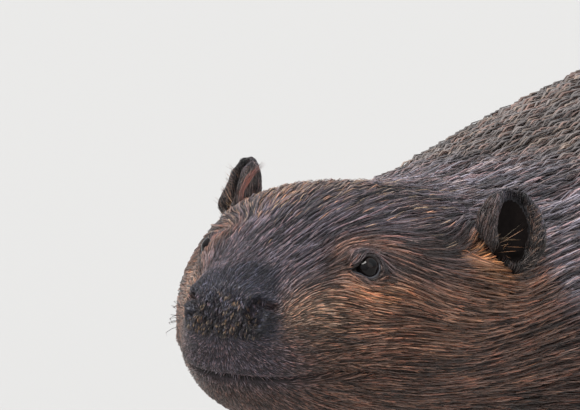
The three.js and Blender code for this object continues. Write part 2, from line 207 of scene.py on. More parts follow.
class Net:
    """The edges of a mesh, for spreading values from each corner to its neighbours."""

    def __init__(self, ob):
        edges = read_all(ob.data.edges, "vertices", 2, int)
        self.count = len(ob.data.vertices)
        self.start = np.concatenate([edges[:, 0], edges[:, 1]])
        self.end = np.concatenate([edges[:, 1], edges[:, 0]])
        self.degree = np.maximum(np.bincount(self.start, minlength=self.count), 1)

    def mean(self, values):
        flat = values.reshape(self.count, -1)
        total = [
            np.bincount(self.start, flat[self.end, k], minlength=self.count)
            for k in range(flat.shape[1])
        ]
        return (np.stack(total, 1) / self.degree[:, None]).reshape(values.shape)

    def spread(self, values, rounds, share=0.5):
        for _ in range(rounds):
            values = values + (self.mean(values) - values) * share
        return values


def surface_tree(obs):
    """A search tree over the triangles of several objects, and which object each is from."""
    points, faces, owner = [], [], []
    for number, ob in enumerate(obs):
        corners = triangles_of(ob) + sum(len(p) for p in points)
        points.append(points_of(ob))
        faces.append(corners)
        owner.append(np.full(len(corners), number))
    tree = BVHTree.FromPolygons(
        np.concatenate(points).tolist(), np.concatenate(faces).tolist(), all_triangles=True
    )
    return tree, np.concatenate(owner)


def nearest_on(tree, points):
    """For each point, the nearest place on the tree and its triangle."""
    found = [tree.find_nearest(p) for p in points.tolist()]
    return np.array([f[0] for f in found]), np.array([f[2] for f in found])


class Ground:
    """A finished skin that hair grows on: its corners, normals, and how the coat lies there."""

    def __init__(self, ob, lie):
        self.points, self.normals, self.corners = points_of(ob), normals_of(ob), triangles_of(ob)
        self.at, self.lie = measured(self.points), lie
        self.tree = search_tree(self.at)

    def settle(self, at):
        """The places moved onto the skin, and the corner nearest each."""
        found = nearest_in(self.tree, at)
        up = self.normals[found]
        return at - up * dots(at - self.at[found], up), found

    def scatter(self, thickness, wanted):
        """Roots over the skin, as thick as each corner's value says."""
        a, b, c = (self.at[self.corners[:, k]] for k in range(3))
        area = np.linalg.norm(np.cross(b - a, c - a), axis=1) / 2
        total = np.cumsum(area * thickness[self.corners].mean(1))
        picks = (np.arange(wanted) + dice.random(wanted)) / wanted * total[-1]
        chosen = np.minimum(np.searchsorted(total, picks), len(total) - 1)
        u, v = dice.random((2, wanted))
        u, v = np.where(u + v > 1, (1 - u, 1 - v), (u, v))
        return a[chosen] + (b - a)[chosen] * u[:, None] + (c - a)[chosen] * v[:, None]

    def walk(self, roots, length, steps, wander=0.0, bend=0.0):
        """From each root along the lie of the coat: places on the skin, and normals."""
        now, found = self.settle(roots)
        places, ups = [now], [self.normals[found]]
        for number, step in enumerate(np.diff([0, *steps])):
            way = self.lie[found]
            turn = np.broadcast_to(wander + bend * number, (len(roots),))[:, None]
            way = way * np.cos(turn) + np.cross(self.normals[found], way) * np.sin(turn)
            now, found = self.settle(now + way * (length * step)[:, None])
            places.append(now)
            ups.append(self.normals[found])
        return np.stack(places, 1), np.stack(ups, 1)


def search_tree(points):
    tree = KDTree(len(points))
    for number, point in enumerate(points.tolist()):
        tree.insert(point, number)
    tree.balance()
    return tree


def nearest_in(tree, points):
    return np.array([tree.find(p)[1] for p in points.tolist()], int)


def finer_where(ob, inside, rounds):
    """Cuts the faces inside into four, and eases the corners it adds."""
    bpy.context.tool_settings.mesh_select_mode = (False, False, True)
    select(ob)
    mesh, before = ob.data, len(ob.data.vertices)
    chosen = faces_inside(ob, inside)
    mesh.vertices.foreach_set("select", np.zeros(before, bool))
    mesh.edges.foreach_set("select", np.zeros(len(mesh.edges), bool))
    mesh.polygons.foreach_set("select", chosen)
    in_edit_mode((bpy.ops.mesh.subdivide, {"number_cuts": 1}))
    points = points_of(ob)
    where = np.ones(len(points))
    where[:before] = inside
    move_points(ob, Net(ob).spread(points, rounds, 0.5 * where[:, None]))


# ---- Skin: one closed surface under the coat, and bare on the nose, feet and tail ----
TRUNK = ["nose", "lower_jaw", "head", "neck", "chest", "belly", "rump", "tail_root"]
LIMB_PARTS = ["upper_arm", "forearm", "thigh", "shank"]
LIMBS = [f"{word}_{part}" for word in SIDES for part in LIMB_PARTS]
FOREPAWS = [f"{word}_forepaw" for word in SIDES]
HIND_FEET = [f"{word}_hind_foot" for word in SIDES]
EARS = [f"{word}_ear" for word in SIDES]
FLESH = [*TRUNK, *LIMBS, *FOREPAWS, *HIND_FEET, "tail_blade", *EARS]

SKIN_VOXEL = 5.6
# Where its squares are cut in four, one after the other: before here, above here, and the easing
FINER_SKIN = [(158, -np.inf, 4), (146, -48, 3), (22, -28, 2)]
FINER_LIDS = (13, 10.5)  # and within these distances of an eye
SKIN_ROUNDS, SKIN_FIT_ROUNDS = 24, 14  # of easing the skin, and its way back to the CAD surface

# The bones that the coat follows on each leg: from here, to there
BONES = {}
for word, side in SIDES.items():
    knee, heel = {"left": ((112, 578, -158), (109, 686, -188)),
                  "right": ((112, 566, -160), (114, 654, -202))}[word]
    for part, start, end in (("upper_arm", (66, 252, -92), (76, 300, -146)),
                             ("forearm", (76, 300, -146), (54, 222, -155)),
                             ("thigh", (84, 606, -98), knee), ("shank", knee, heel)):
        BONES[f"{word}_{part}"] = np.array([start, end], float) * (side, 1, 1)


def near_eye(at, spread):
    return bell(at, EYE["left"], spread)


def coat_depth(at):
    """How far the skin lies under the tips of the coat, in millimetres."""
    behind, above = at[:, 1], at[:, 2]
    depth = 0.7 + 0.9 * smoothstep(behind, 10, 60) + 1.2 * smoothstep(behind, 75, 130)
    depth += 2.4 * smoothstep(behind, 130, 230)
    limbs = smoothstep(above, -150, -185)
    depth = depth * (1 - limbs) + np.minimum(depth, 2.2) * limbs
    depth *= 1 - 0.8 * smoothstep(behind, 790, 835)
    return depth * (1 - 0.7 * near_eye(at, 12))


def even_skin(names, new_name, voxel, rounds, fit_rounds, fits=1, share=lambda at: 0.5):
    """The named CAD nodes in one closed mesh of even squares, its facets smoothed away."""
    part = merged_copy(names, new_name)
    cad_tree, _ = surface_tree([part])
    with_modifier(part, "REMESH", mode="VOXEL", voxel_size=voxel * MM)
    net, points = Net(part), points_of(part)
    move_points(part, net.spread(points, rounds, share(measured(points))))
    for _ in range(fits):
        points, normals = points_of(part), normals_of(part)
        found, _ = nearest_on(cad_tree, points)
        shortfall = net.spread(dots(found - points, normals), fit_rounds)
        move_points(part, points + normals * shortfall)
    return part


def body_skin():
    """The body without ears, feet and tail blade, sunk under the coat by its depth."""
    names = [*TRUNK, *LIMBS, "left_eye", "right_eye"]
    skin = even_skin(names, "skin", SKIN_VOXEL, SKIN_ROUNDS, SKIN_FIT_ROUNDS, 2,
                     lambda at: (0.10 + 0.40 * smoothstep(at[:, 1], 50, 190))[:, None])
    points = points_of(skin)
    move_points(skin, points - normals_of(skin) * coat_depth(measured(points))[:, None] * MM)
    return skin


# Mouth: how high its line runs, by distance behind the nose
MOUTH_LINE = ([0, 6, 20, 36, 56, 75], [-22.5, -22.5, -23.5, -23, -27, -34])
# The coat stands a little prouder before the right eye
FAR_BROW = (30, 43, 21)
# A curved slot: up from the front of the pad, then back along its side
NOSTRIL = np.array([(14.6, 2.6, 3.6), (13.9, 2.8, 7.2), (15.6, 4.0, 9.8), (18.4, 7.2, 9.8),
                    (20.8, 10.4, 8.2)])
NOSTRIL_FRONT = 1.4  # wider there by this much
# Small swellings and hollows of the muzzle: height, middle and spread
MUZZLE_FORMS = [
    (-0.8, (0, 1, -9), (2.0, 12, 10)), (-1.0, (0, 4, 14), (7, 10, 6)),
    (0.5, (9, 4, 12), (6, 8, 6)), (-0.8, (25, 14, 4), (5, 4, 12)),
]


def distance_to_path(at, path):
    """How far each place is from a line of points on either side of the body."""
    best = np.full(len(at), np.inf)
    for start, end in zip(path[:-1], path[1:]):
        away, run = folded(at) - start, end - start
        share = np.clip((away @ run) / (run @ run), 0, 1)
        best = np.minimum(best, lengths(away - share[:, None] * run))
    return best


def from_nostril(at):
    """How far each place is from the nostril's slot, which is wider in front."""
    front = distance_to_path(at, NOSTRIL[1:3]) - NOSTRIL_FRONT
    return np.minimum(distance_to_path(at, NOSTRIL), front)


def shape_muzzle(skin):
    """Nose pad, nostrils, the groove down to the lip, and the closed mouth."""
    points, normals = points_of(skin), normals_of(skin)
    at = measured(points)
    side = np.sign(at[:, 0])
    slot = from_nostril(at)
    rise = 0.8 * hump(slot, 3.9, 1.4)
    for height, centre, spread in MUZZLE_FORMS:
        rise += height * bell(at, centre, spread)
    rise -= 1.3 * near_eye(at, 15)
    rise += 2.3 * bell(at, FAR_BROW, (7, 10, 7)) * (side < 0)
    line = np.interp(at[:, 1], *MOUTH_LINE)
    reach = fade(at[:, 1], 50, 66)
    rise -= 2.4 * hump(at[:, 2], line, 1.5) * reach * (at[:, 2] < 0)
    rise += 1.0 * hump(at[:, 2] - line, 4.5, 3) * reach * (at[:, 2] < 0)
    points = points + normals * rise[:, None] * MM
    inward = unit(np.stack([-0.72 * side, np.full(len(at), 0.66), np.full(len(at), -0.12)], 1))
    sunk = 6.0 * np.exp(-((slot / 2.5) ** 4))
    move_points(skin, points + inward * sunk[:, None] * MM)


# Eyelids, in millimetres on the skin round each eye: along it towards the tail, up, and out.
# The opening is a round over the ball, and a narrowing slit towards the nose.
LID_TURN = math.radians(20)
LID_AT = (-0.7, -0.9)
LID_ROUND = 4.15
LID_SLIT = (8.8, 3.1, 0.3)  # how long, and its half height at either end


def eye_axes(word, points, normals):
    """Outwards, towards the tail and up, on the skin where the eye sits."""
    near = np.linalg.norm(points - EYE_CENTRE[word], axis=1) < 10 * MM
    outward = unit(normals[near].mean(0))
    level = unit(np.array([0, 1.0, 0]) - outward * outward[1])
    high = np.cross(level, outward)
    high *= np.sign(high[2])
    back = level * math.cos(LID_TURN) - high * math.sin(LID_TURN)
    up = high * math.cos(LID_TURN) + level * math.sin(LID_TURN)
    return outward, back, up


def lid_place(word, points):
    """Along, up and out from the eye's centre, and how far outside the lids' opening."""
    outward, back, up = eye_frames[word]
    away = (points - EYE_CENTRE[word]) / MM
    along, high, out = away @ back, away @ up, away @ outward
    from_round = np.hypot(along - LID_AT[0], high - LID_AT[1]) - LID_ROUND
    length, tall, low = LID_SLIT
    share = np.clip((LID_AT[0] - along) / length, 0, 1)
    gap = np.hypot(along - LID_AT[0] + share * length, high - LID_AT[1])
    from_slit = gap - (tall + (low - tall) * share)
    soft = np.clip(0.5 + (from_slit - from_round) / 2.4, 0, 1)  # rounds the corner between them
    beyond = from_slit + (from_round - from_slit) * soft - 0.6 * soft * (1 - soft) * 2
    return along, high, out, beyond


def shape_eyelids(skin):
    points = points_of(skin)
    for word, (outward, _, _) in eye_frames.items():
        along, high, out, beyond = lid_place(word, points)
        reach = np.hypot(along, high)
        near = (reach < 17) & (out > -9)
        inner = 1 - np.maximum(beyond, 0) / np.maximum(reach, 1)
        ball = np.sqrt(np.clip(EYE_RADIUS**2 - (reach * inner) ** 2, 0, None))
        above = smoothstep(high, -1, 3)
        rim = np.maximum(ball, 1.5) + 0.6 + 0.35 * above
        sunk = np.maximum(ball - 1.5, 0.4)
        fold = -0.5 * hump(beyond, 2.7, 0.55) * above
        fold -= 0.35 * hump(beyond, 2.2, 0.5) * (1 - above)
        outside = rim + (out - rim) * smoothstep(beyond, 0.7, 5.5) + fold
        inside = sunk + (rim - sunk) * smoothstep(beyond, -0.75, 0.05)
        level = np.where(beyond < 0, inside, outside)
        shift = np.where(near, level - out, 0) * fade(reach, 12, 17)
        points = points + outward * shift[:, None] * MM
        ridge = spot(along, high, (-6.5, 5.5), (4.5, 4.0)) * near
        swell = spot(along, high, (-13, -1.0), (4.0, 6.0)) * (reach < 25) * (out > -9)
        raised = 1.3 * ridge * smoothstep(beyond, 0.8, 3.5) + 1.1 * swell
        points = points + outward * raised[:, None] * MM
    move_points(skin, points)


skin = body_skin()
for back, low, rounds in FINER_SKIN:
    at = measured(points_of(skin))
    finer_where(skin, (at[:, 1] < back) & (at[:, 2] > low), rounds)
for reach in FINER_LIDS:
    at = measured(points_of(skin))
    finer_where(skin, np.minimum(*[lengths(at - EYE[word]) for word in SIDES]) < reach, 2)
shape_muzzle(skin)
eye_frames = {word: eye_axes(word, points_of(skin), normals_of(skin)) for word in SIDES}
shape_eyelids(skin)
smooth_shaded(skin)


# ---- Markings: the colour of the coat by place, on the skin and on every lock, with painted sheen and shade among them ----
# The head's mauve grey is grey-brown fur with a painted sky sheen in it
MAUVE_SHEEN_GREY = (0.172, 0.146, 0.178)
BROWN = (0.200, 0.116, 0.086)
WARM = (0.325, 0.178, 0.118)
ORANGE = (0.500, 0.240, 0.110)
GOLD = (0.640, 0.330, 0.150)
TAN = (0.400, 0.265, 0.185)
PALE_TAN = (0.600, 0.410, 0.300)
PALE_WARM = (0.620, 0.350, 0.230)
DARK = (0.040, 0.026, 0.021)
BACK = (0.225, 0.190, 0.175)
# A painted wet sheen, pale blue grey, for the neck behind the ears
NECK_SHEEN_BLUE = (0.320, 0.285, 0.330)
BELLY = (0.230, 0.175, 0.130)
LEATHER = (0.060, 0.062, 0.088)
NOSE_DARK = (0.018, 0.015, 0.014)
HIDE = (0.050, 0.041, 0.038)
# Painted shade in the nostrils, and in the crease of the closed mouth
NOSTRIL_SHADE = (0.006, 0.005, 0.005)
MOUTH_SHADE = (0.012, 0.009, 0.009)
TAIL_HIDE = (0.040, 0.037, 0.037)
EAR_GREY = (0.082, 0.076, 0.094)
EAR_BROWN = (0.092, 0.066, 0.060)
# Painted shade on the ear: its lower half, its inner rear wall and deep in its opening
EAR_LOW_SHADE = (0.045, 0.036, 0.034)
EAR_WALL_SHADE = (0.014, 0.011, 0.010)
EAR_DEEP_SHADE = (0.005, 0.004, 0.004)
TUFT_RED = (0.400, 0.210, 0.110)
LOCK_RED = (0.190, 0.066, 0.045)
PALE_TIP = (0.420, 0.290, 0.185)
WHISKER = (0.03, 0.022, 0.02)
BRISTLE_YELLOW = (0.200, 0.155, 0.108)
LID_GREY = (0.060, 0.061, 0.070)
# Dark lid skin, darkened further as painted shade
LID_SKIN_SHADE = (0.020, 0.014, 0.013)

# Patches of colour on the head, one over the other: colour, share, middle and spread
PATCHES = [
    (TAN, 0.80, (29, 32, 2), (13, 20, 11)),
    (TAN, 0.65, (24, 17, 3), (6, 9, 7)),
    (WARM, 0.95, (61, 112, -5), (12, 23, 10)),
    (PALE_TAN, 0.66, (28, 29, 4), (9, 13, 6)),
    (PALE_WARM, 0.72, (38, 53, 5), (9, 15, 7)),
    (WARM, 0.5, (51, 76, 3), (8, 12, 6)),
    (BROWN, 0.8, (42, 87, 16), (11, 17, 8)),
    (DARK, 0.60, (12, 118, 33), (38, 32, 12)),
    (DARK, 0.30, (28, 103, 27), (14, 24, 8)),
    (DARK, 0.45, (49, 98, 12), (8, 13, 6)),
    (DARK, 0.60, (47, 93, 20), (9, 14, 6)),
    (ORANGE, 0.75, (64, 122, 4), (8, 11, 7)),
    (GOLD, 0.82, (57, 117, 10), (7, 9, 7)),
    (ORANGE, 0.40, (60, 121, 20), (5, 6, 8)),
]

# Dark partings in the wet coat of the neck and back, darker underfur with painted shade down in them:
# from, to, half width and depth
SHADED_PARTINGS = [
    ((6, 156), (-25, 252), 4.6, 0.62), ((-13, 214), (-47, 316), 5.0, 0.62),
    ((20, 170), (3, 240), 3.4, 0.60), ((21, 205), (23, 262), 2.6, 0.50),
    ((-40, 190), (-62, 280), 4.0, 0.50), ((46, 250), (40, 340), 4.0, 0.40),
    ((-20, 360), (-34, 470), 6.0, 0.45), ((38, 420), (44, 540), 6.0, 0.45),
    ((4, 520), (-4, 640), 6.0, 0.40),
]


def repeated(row, count):
    """The same colour or direction for each of many places."""
    return np.tile(np.array(row), (count, 1))


def blend(colour, other, share):
    return colour + (np.array(other) - colour) * np.clip(share, 0, 1)[:, None]


def from_eye(at):
    """Towards the tail and up from the nearer eye, in the slant of its lids, in millimetres."""
    away = folded(at) - EYE["left"]
    _, back, up = eye_frames["left"]
    return away @ back, away @ up


def coat_colour(at):
    """Linear colour of the coat at places in millimetres, painted sky sheen and painted shade
    included.
    """
    across, behind, above = np.abs(at[:, 0]), at[:, 1], at[:, 2]
    colour = repeated(BACK, len(at))
    colour = blend(colour, BELLY, smoothstep(above, -60, -150) * smoothstep(behind, 150, 260))
    head = fade(behind, 140, 235)
    # The head is mauve grey, grey-brown fur with a painted sky sheen, and brown low on its sides
    colour = blend(colour, MAUVE_SHEEN_GREY, head)
    flank = smoothstep(above, 20, 2) * smoothstep(across, 16, 34)
    colour = blend(colour, BROWN, head * flank)
    # Painted wet sheen of pale blue grey on the neck behind the ears
    sheen = smoothstep(behind, 145, 172) * fade(behind, 230, 330)
    sheen *= smoothstep(above, -50, -15)
    colour = blend(colour, NECK_SHEEN_BLUE, sheen)
    colour = blend(colour, WARM, head * 0.9 * bell(at, (52, 84, -12), (26, 46, 16)))
    for paint, share, centre, spread in PATCHES:
        colour = blend(colour, paint, share * bell(at, centre, spread))
    along, high = from_eye(at)
    ring = np.hypot(along / np.where(along < 0, 1.5, 1.25), high)
    around = (across > 18) & (behind < 110)
    # Orange fur round the eye, with a painted highlight where the brow arc above it catches the light
    red = 0.44 * around * hump(ring, 11.5, 4.0) * smoothstep(-along, -26, -4)
    colour = blend(colour, ORANGE, red)
    # Dark fur round the eye with the painted shade of its socket, then painted shade under the brow
    # just above the lid
    colour = blend(colour, DARK, 0.70 * around * fade(ring, 4.5, 8.5))
    colour = blend(colour, DARK, 0.45 * around * spot(along, high, (1, 8), (6.0, 3.2)))
    # Painted sheen: the bare leather reaches further back on the left of the bridge, while the right
    # of it keeps the head's mauve sky sheen
    edge = 9 + (3 + 10 * smoothstep(at[:, 0], -4, 5)) * smoothstep(above, 8, 20)
    nose = fade(behind, edge - 3, edge + 6) * smoothstep(above, -6, -1) * (across < 26)
    colour = blend(colour, LEATHER, 0.92 * nose)
    front = nose * fade(behind, 5, 13) * fade(above, 3, 17)
    colour = blend(colour, NOSE_DARK, 0.7 * front)
    colour = blend(colour, BROWN, 0.8 * head * smoothstep(above, -18, -34))
    # Painted shade down in the wet partings
    for start, end, half, share in SHADED_PARTINGS:
        away, run = at[:, :2] - start, np.array(end, float) - start
        along = np.clip((away @ run) / (run @ run), 0, 1)
        aside = lengths(away - along[:, None] * run)
        inside = aside / (half * (0.35 + 2.6 * along * (1 - along)))
        colour = blend(colour, DARK, share * fade(inside, 0.7, 1.3) * (above > -40))
    return blend(colour, DARK, 0.5 * smoothstep(behind, 760, 800))


# ---- Where the ears stand ----
EAR_AT = np.array([62.0, 140.0, 14.5])
EAR_FACING = math.radians(42)
EAR_TILT = math.radians(16)
EAR_MOUTH = (8.8, 14.6)
EAR_MOUTH_AT = (1.2, 0.8)  # middle of the opening, towards the tail and up


def ear_axes(word):
    """Towards the tail, out of the opening, and up."""
    side = SIDES[word]
    out = np.array([math.sin(EAR_FACING) * side, -math.cos(EAR_FACING), 0])
    up = np.array([0, 0, 1.0])
    return (np.array([math.cos(EAR_FACING) * side, math.sin(EAR_FACING), 0]),
            out * math.cos(EAR_TILT) + up * math.sin(EAR_TILT),
            up * math.cos(EAR_TILT) - out * math.sin(EAR_TILT))


def ear_place(word, at):
    """Millimetres in the ear's own frame, and rings round the opening: 1 is its edge."""
    rear, out, up = (((at - EAR_AT * (SIDES[word], 1, 1)) @ axis) for axis in ear_axes(word))
    ring = np.hypot((rear - EAR_MOUTH_AT[0]) / EAR_MOUTH[0], (up - EAR_MOUTH_AT[1]) / EAR_MOUTH[1])
    low = np.hypot((rear + 1.0) / 8.8, (up + 7.5) / 8.0)  # the opening widens below
    return rear, out, up, np.minimum(ring, low)


# ---- The lie of the coat ----
def part_shares(ob, names, rounds):
    """How much each corner of the skin belongs to each named CAD node, eased over its edges."""
    tree, owner = surface_tree([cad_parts[name] for name in names])
    _, found = nearest_on(tree, points_of(ob))
    net = Net(ob)
    own = owner[found]
    return {
        name: net.spread((own == number).astype(float), rounds)
        for number, name in enumerate(names)
    }


# How the coat is combed on the head, as on the left side: place, reach, and which way it lies
COMBED = {
    "nose bridge": ((0, 35, 24), 14, (0.05, 0.98, 0.20)),
    "beside the nose": ((17, 21, 15), 7, (0.0, 0.90, 0.42)),
    "muzzle": ((22, 28, 14), 10, (0.14, 0.94, 0.26)),
    "muzzle side": ((23, 42, 17), 10, (0.24, 0.95, 0.20)),
    "lip": ((30, 40, 5), 11, (0.50, 0.80, -0.30)),
    "under the eye's corner": ((34, 48, 9), 6, (0.45, 0.72, -0.58)),
    "forehead": ((8, 75, 30), 15, (0.10, 0.98, 0.08)),
    "brow front": ((24, 58, 23), 8, (0.10, 0.97, 0.18)),
    "over the brow": ((27, 76, 26), 9, (0.46, 0.88, -0.12)),
    "behind the brow": ((36, 84, 21), 8, (0.72, 0.60, -0.34)),
    "under the eye": ((40, 56, 5), 8, (0.50, 0.72, -0.50)),
    "behind the eye": ((45, 79, 12), 8, (0.66, 0.53, -0.53)),
    "low behind the eye": ((51, 80, 3), 10, (0.54, 0.54, -0.62)),
    "cheek": ((54, 97, 4), 14, (0.44, 0.82, -0.36)),
    "back of the cheek": ((62, 122, -1), 12, (0.28, 0.90, -0.32)),
    "low cheek": ((52, 82, -18), 18, (0.44, 0.86, -0.26)),
    "temple": ((44, 97, 18), 9, (0.30, 0.94, -0.12)),
    "to the ear": ((48, 112, 17), 10, (0.02, 0.96, 0.28)),
    "front of the ear": ((51, 127, 15), 9, (-0.10, 0.84, 0.52)),
    "crown": ((12, 112, 32), 18, (0.12, 0.99, 0.00)),
    "side of the crown": ((33, 108, 26), 13, (0.32, 0.94, -0.06)),
    "behind the crown": ((24, 145, 27), 20, (0.16, 0.96, -0.18)),
    "nape": ((12, 215, 10), 35, (-0.05, 0.98, -0.18)),
}


def lie_of_coat(at, normals, shares):
    """Back along the body, as combed on the head, round the eyes and down the legs."""
    side = np.where(at[:, 0] < 0, -1.0, 1.0)
    behind, above = at[:, 1], at[:, 2]
    way = np.zeros_like(at)
    way[:, 1] = 1
    way[:, 2] -= 0.30 * smoothstep(behind, 150, 240) * smoothstep(above, 10, -60)
    way[:, 2] += 0.20 * smoothstep(behind, 300, 420) * smoothstep(above, 10, -60)
    front = fade(behind, 3, 24)
    way[:, 0] += 0.10 * front * at[:, 0]
    way[:, 2] += 0.10 * front * (above - 1)
    combed, held = way * 0.15, np.full(len(at), 0.15)
    for centre, reach, lies in COMBED.values():
        share = bell(at, centre, reach)
        lies = repeated(lies, len(at))
        lies[:, 0] = side * lies[0, 0] * np.minimum(np.abs(at[:, 0]) / 6, 1)
        combed += lies * share[:, None]
        held += share
    way = combed / held[:, None]
    for name, (start, end) in BONES.items():
        bone = unit(end - start)
        way += (bone - way) * shares[name][:, None] * 0.9
    return part_round_eyes(at, flat_on(way, normals), normals)


PARTING_TURN = math.radians(28)
STONE = 7.8  # how wide the eye stands in the stream


def part_round_eyes(at, way, normals):
    """Parts the coat round each eye as a stream parts round a stone."""
    for word in SIDES:
        outward, back, up = eye_frames[word]
        away = at - EYE[word]
        along, high = away @ back + 1.2, away @ up + 0.6
        turn = PARTING_TURN * smoothstep(along / np.maximum(np.hypot(along, high), 1), -0.5, 0.7)
        back, up = (back * np.cos(turn)[:, None] - up * np.sin(turn)[:, None],
                    up * np.cos(turn)[:, None] + back * np.sin(turn)[:, None])
        along, high = (along * np.cos(turn) - high * np.sin(turn),
                       high * np.cos(turn) + along * np.sin(turn))
        reach2 = np.maximum(along**2 + high**2, 16)
        stream = 1 - STONE**2 * (along**2 - high**2) / reach2**2
        parted = -2 * STONE**2 * along * high / reach2**2
        parted = np.where((parted > 0) & (along > 0), 0.3 * parted, parted)
        close = np.exp(-((np.sqrt(reach2) / 14) ** 4)) * (away @ outward > -12)
        local = unit(stream[:, None] * back + parted[:, None] * up)
        way = way + (local - way) * close[:, None]
        _, back, up = eye_frames[word]
        gap, before, behind, under, over = (
            lid_place(word, ORIGIN + (at + shift) * MM)[3]
            for shift in (0 * back, -0.3 * back, 0.3 * back, -0.3 * up, 0.3 * up)
        )
        across = unit((behind - before)[:, None] * back + (over - under)[:, None] * up)
        rim = np.exp(-((gap / 3.2) ** 4)) * (lengths(away) < 15)
        way = way - across * dots(way, across) * rim[:, None]
    return flat_on(way, normals)


dice = np.random.default_rng(11)
skin_points, skin_normals = points_of(skin), normals_of(skin)
skin_at = measured(skin_points)
lie = lie_of_coat(skin_at, skin_normals, part_shares(skin, [*TRUNK, *BONES], 5))
ground = Ground(skin, flat_on(Net(skin).spread(lie, 3), skin_normals))

beyond_lids = np.minimum(*[
    np.where(lengths(skin_at - EYE[word]) < 16, lid_place(word, skin_points)[3], 99)
    for word in SIDES
])
nostril_gap = from_nostril(skin_at)
mouth_gap = np.abs(skin_at[:, 2] - np.interp(skin_at[:, 1], *MOUTH_LINE)) + 9 * (skin_at[:, 1] > 62)
ear_gap = np.full(len(skin_at), 9.0)
for word in SIDES:
    rear, out, up, _ = ear_place(word, skin_at)
    ear_gap = np.minimum(ear_gap, np.linalg.norm(np.stack([rear / 12, out / 4.5, up / 16]), axis=0))


# ---- Locks of the coat ----
def thickness_of_coat(at):
    """How thickly the coat grows on each corner of the skin: 0 on the bare places."""
    thick = smoothstep(beyond_lids, 0.5, 1.1) * (1 + 0.8 * near_eye(at, 11))
    thick *= smoothstep(nostril_gap, 2.6, 3.2)
    thick *= smoothstep(ear_gap, 0.85, 1.0)
    thick *= smoothstep(mouth_gap, 0.7, 1.4)
    return thick * fade(at[:, 1], 828, 834)


def lock_length(at):
    """Millimetres, shortest on the nose, the eyelids and the legs."""
    length = np.interp(at[:, 1], [0, 12, 24, 45, 75, 115, 150, 200, 260, 700, 800, 835],
                       [1.8, 2.6, 5, 9, 15, 21, 23, 27, 36, 40, 24, 10])
    length = length * (1 - 0.66 * near_eye(at, 9))
    return length * (1 - 0.55 * smoothstep(at[:, 2], -150, -175))


def lock_width(at):
    return np.interp(at[:, 1], [0, 20, 45, 110, 150, 200, 270, 360, 480, 620, 835],
                     [0.24, 0.30, 0.37, 0.43, 0.50, 0.66, 0.95, 1.2, 1.6, 2.0, 2.1])


def lane_gap(at):
    """How far apart the wet clumps run."""
    gap = np.interp(at[:, 1], [0, 20, 45, 80, 115, 150, 200, 280, 835],
                    [0.7, 1.1, 2.0, 2.9, 3.7, 3.8, 4.5, 7, 9])
    cheek = smoothstep(at[:, 2], 16, 2) * fade(at[:, 1], 130, 170)
    return gap * (1 - 0.46 * cheek) * (1 - 0.2 * near_eye(at, 14))


def lane_run(at):
    """How far the clumps run, in gaps."""
    return np.interp(at[:, 1], [0, 30, 60, 170, 300, 835], [9, 12, 22, 22, 14, 12])


CELL = 3.0  # of the grid that finds the lanes nearby
LANE_STEP = 0.6  # of the gap between lanes


def lanes(ground, thickness, gap_at, wanted, reach):
    """Lines along the lie of the coat for wet hair to gather on, some close and some apart."""
    seeds = ground.scatter(thickness, wanted)
    seeds = seeds[dice.permutation(wanted)]
    gaps = gap_at(seeds) * np.clip(np.exp(dice.normal(0, 0.38, wanted)), 0.5, 1.9)
    reaches = (reach(seeds) * dice.uniform(0.5, 1.3, wanted) / LANE_STEP).astype(int)
    taken = {}

    def crowded(point, room):
        spans = [range(int((p - room) // CELL), int((p + room) // CELL) + 1) for p in point]
        return any(
            math.dist(other, point) < room
            for cell in itertools.product(*spans) for other in taken.get(cell, ())
        )

    samples, ways, numbers = [], [], []
    tries = zip(seeds.tolist(), gaps.tolist(), reaches.tolist())
    for number, (seed, gap, limit) in enumerate(tries):
        if crowded(seed, gap):
            continue
        line, steps = [seed], []
        for _ in range(limit):
            _, found, _ = ground.tree.find(line[-1])
            way, up, base = ground.lie[found], ground.normals[found], ground.at[found]
            moved = np.array(line[-1]) + way * (LANE_STEP * gap)
            moved = (moved - up * ((moved - base) @ up)).tolist()
            steps.append(way)
            if crowded(moved, LANE_STEP * gap):
                break
            line.append(moved)
        if len(line) < 3:
            continue
        for place, way in zip(line, steps):
            taken.setdefault(tuple(int(v // CELL) for v in place), []).append(place)
            samples.append(place)
            ways.append(way)
            numbers.append(number)
    numbers = np.array(numbers)
    return np.array(samples), np.array(ways), numbers, gaps[numbers], search_tree(np.array(samples))


NOSTRIL_ROOM, LID_ROOM = 2.3, 0.25  # how far the hair keeps from the openings


def clear_of_openings(locks):
    """Which locks leave the nostrils and the eyes' openings free."""
    clear = np.ones(len(locks["roots"]), bool)
    for k in (1, 2, 3):
        here = locks["places"][:, k]
        clear &= from_nostril(measured(here)) > NOSTRIL_ROOM
        for word in SIDES:
            close = lengths(here - EYE_CENTRE[word]) < 12 * MM
            clear &= ~(close & (lid_place(word, here)[3] < LID_ROOM))
    return clear


# Along each lock: the places of its rings and point, their girth, height and how far they gather
STEPS = {"fine": (0.32, 0.68, 1.0), "broad": (0.5, 1.0)}
GIRTH = {"fine": (1.0, 0.85), "broad": (1.0,)}
HEIGHT = {"fine": (-0.25, 0.62, 0.9, 0.7), "broad": (-0.25, 0.85, 0.6)}
GATHER = {"fine": (0.35, 0.62, 0.8, 0.92), "broad": (0.2, 0.6, 0.9)}


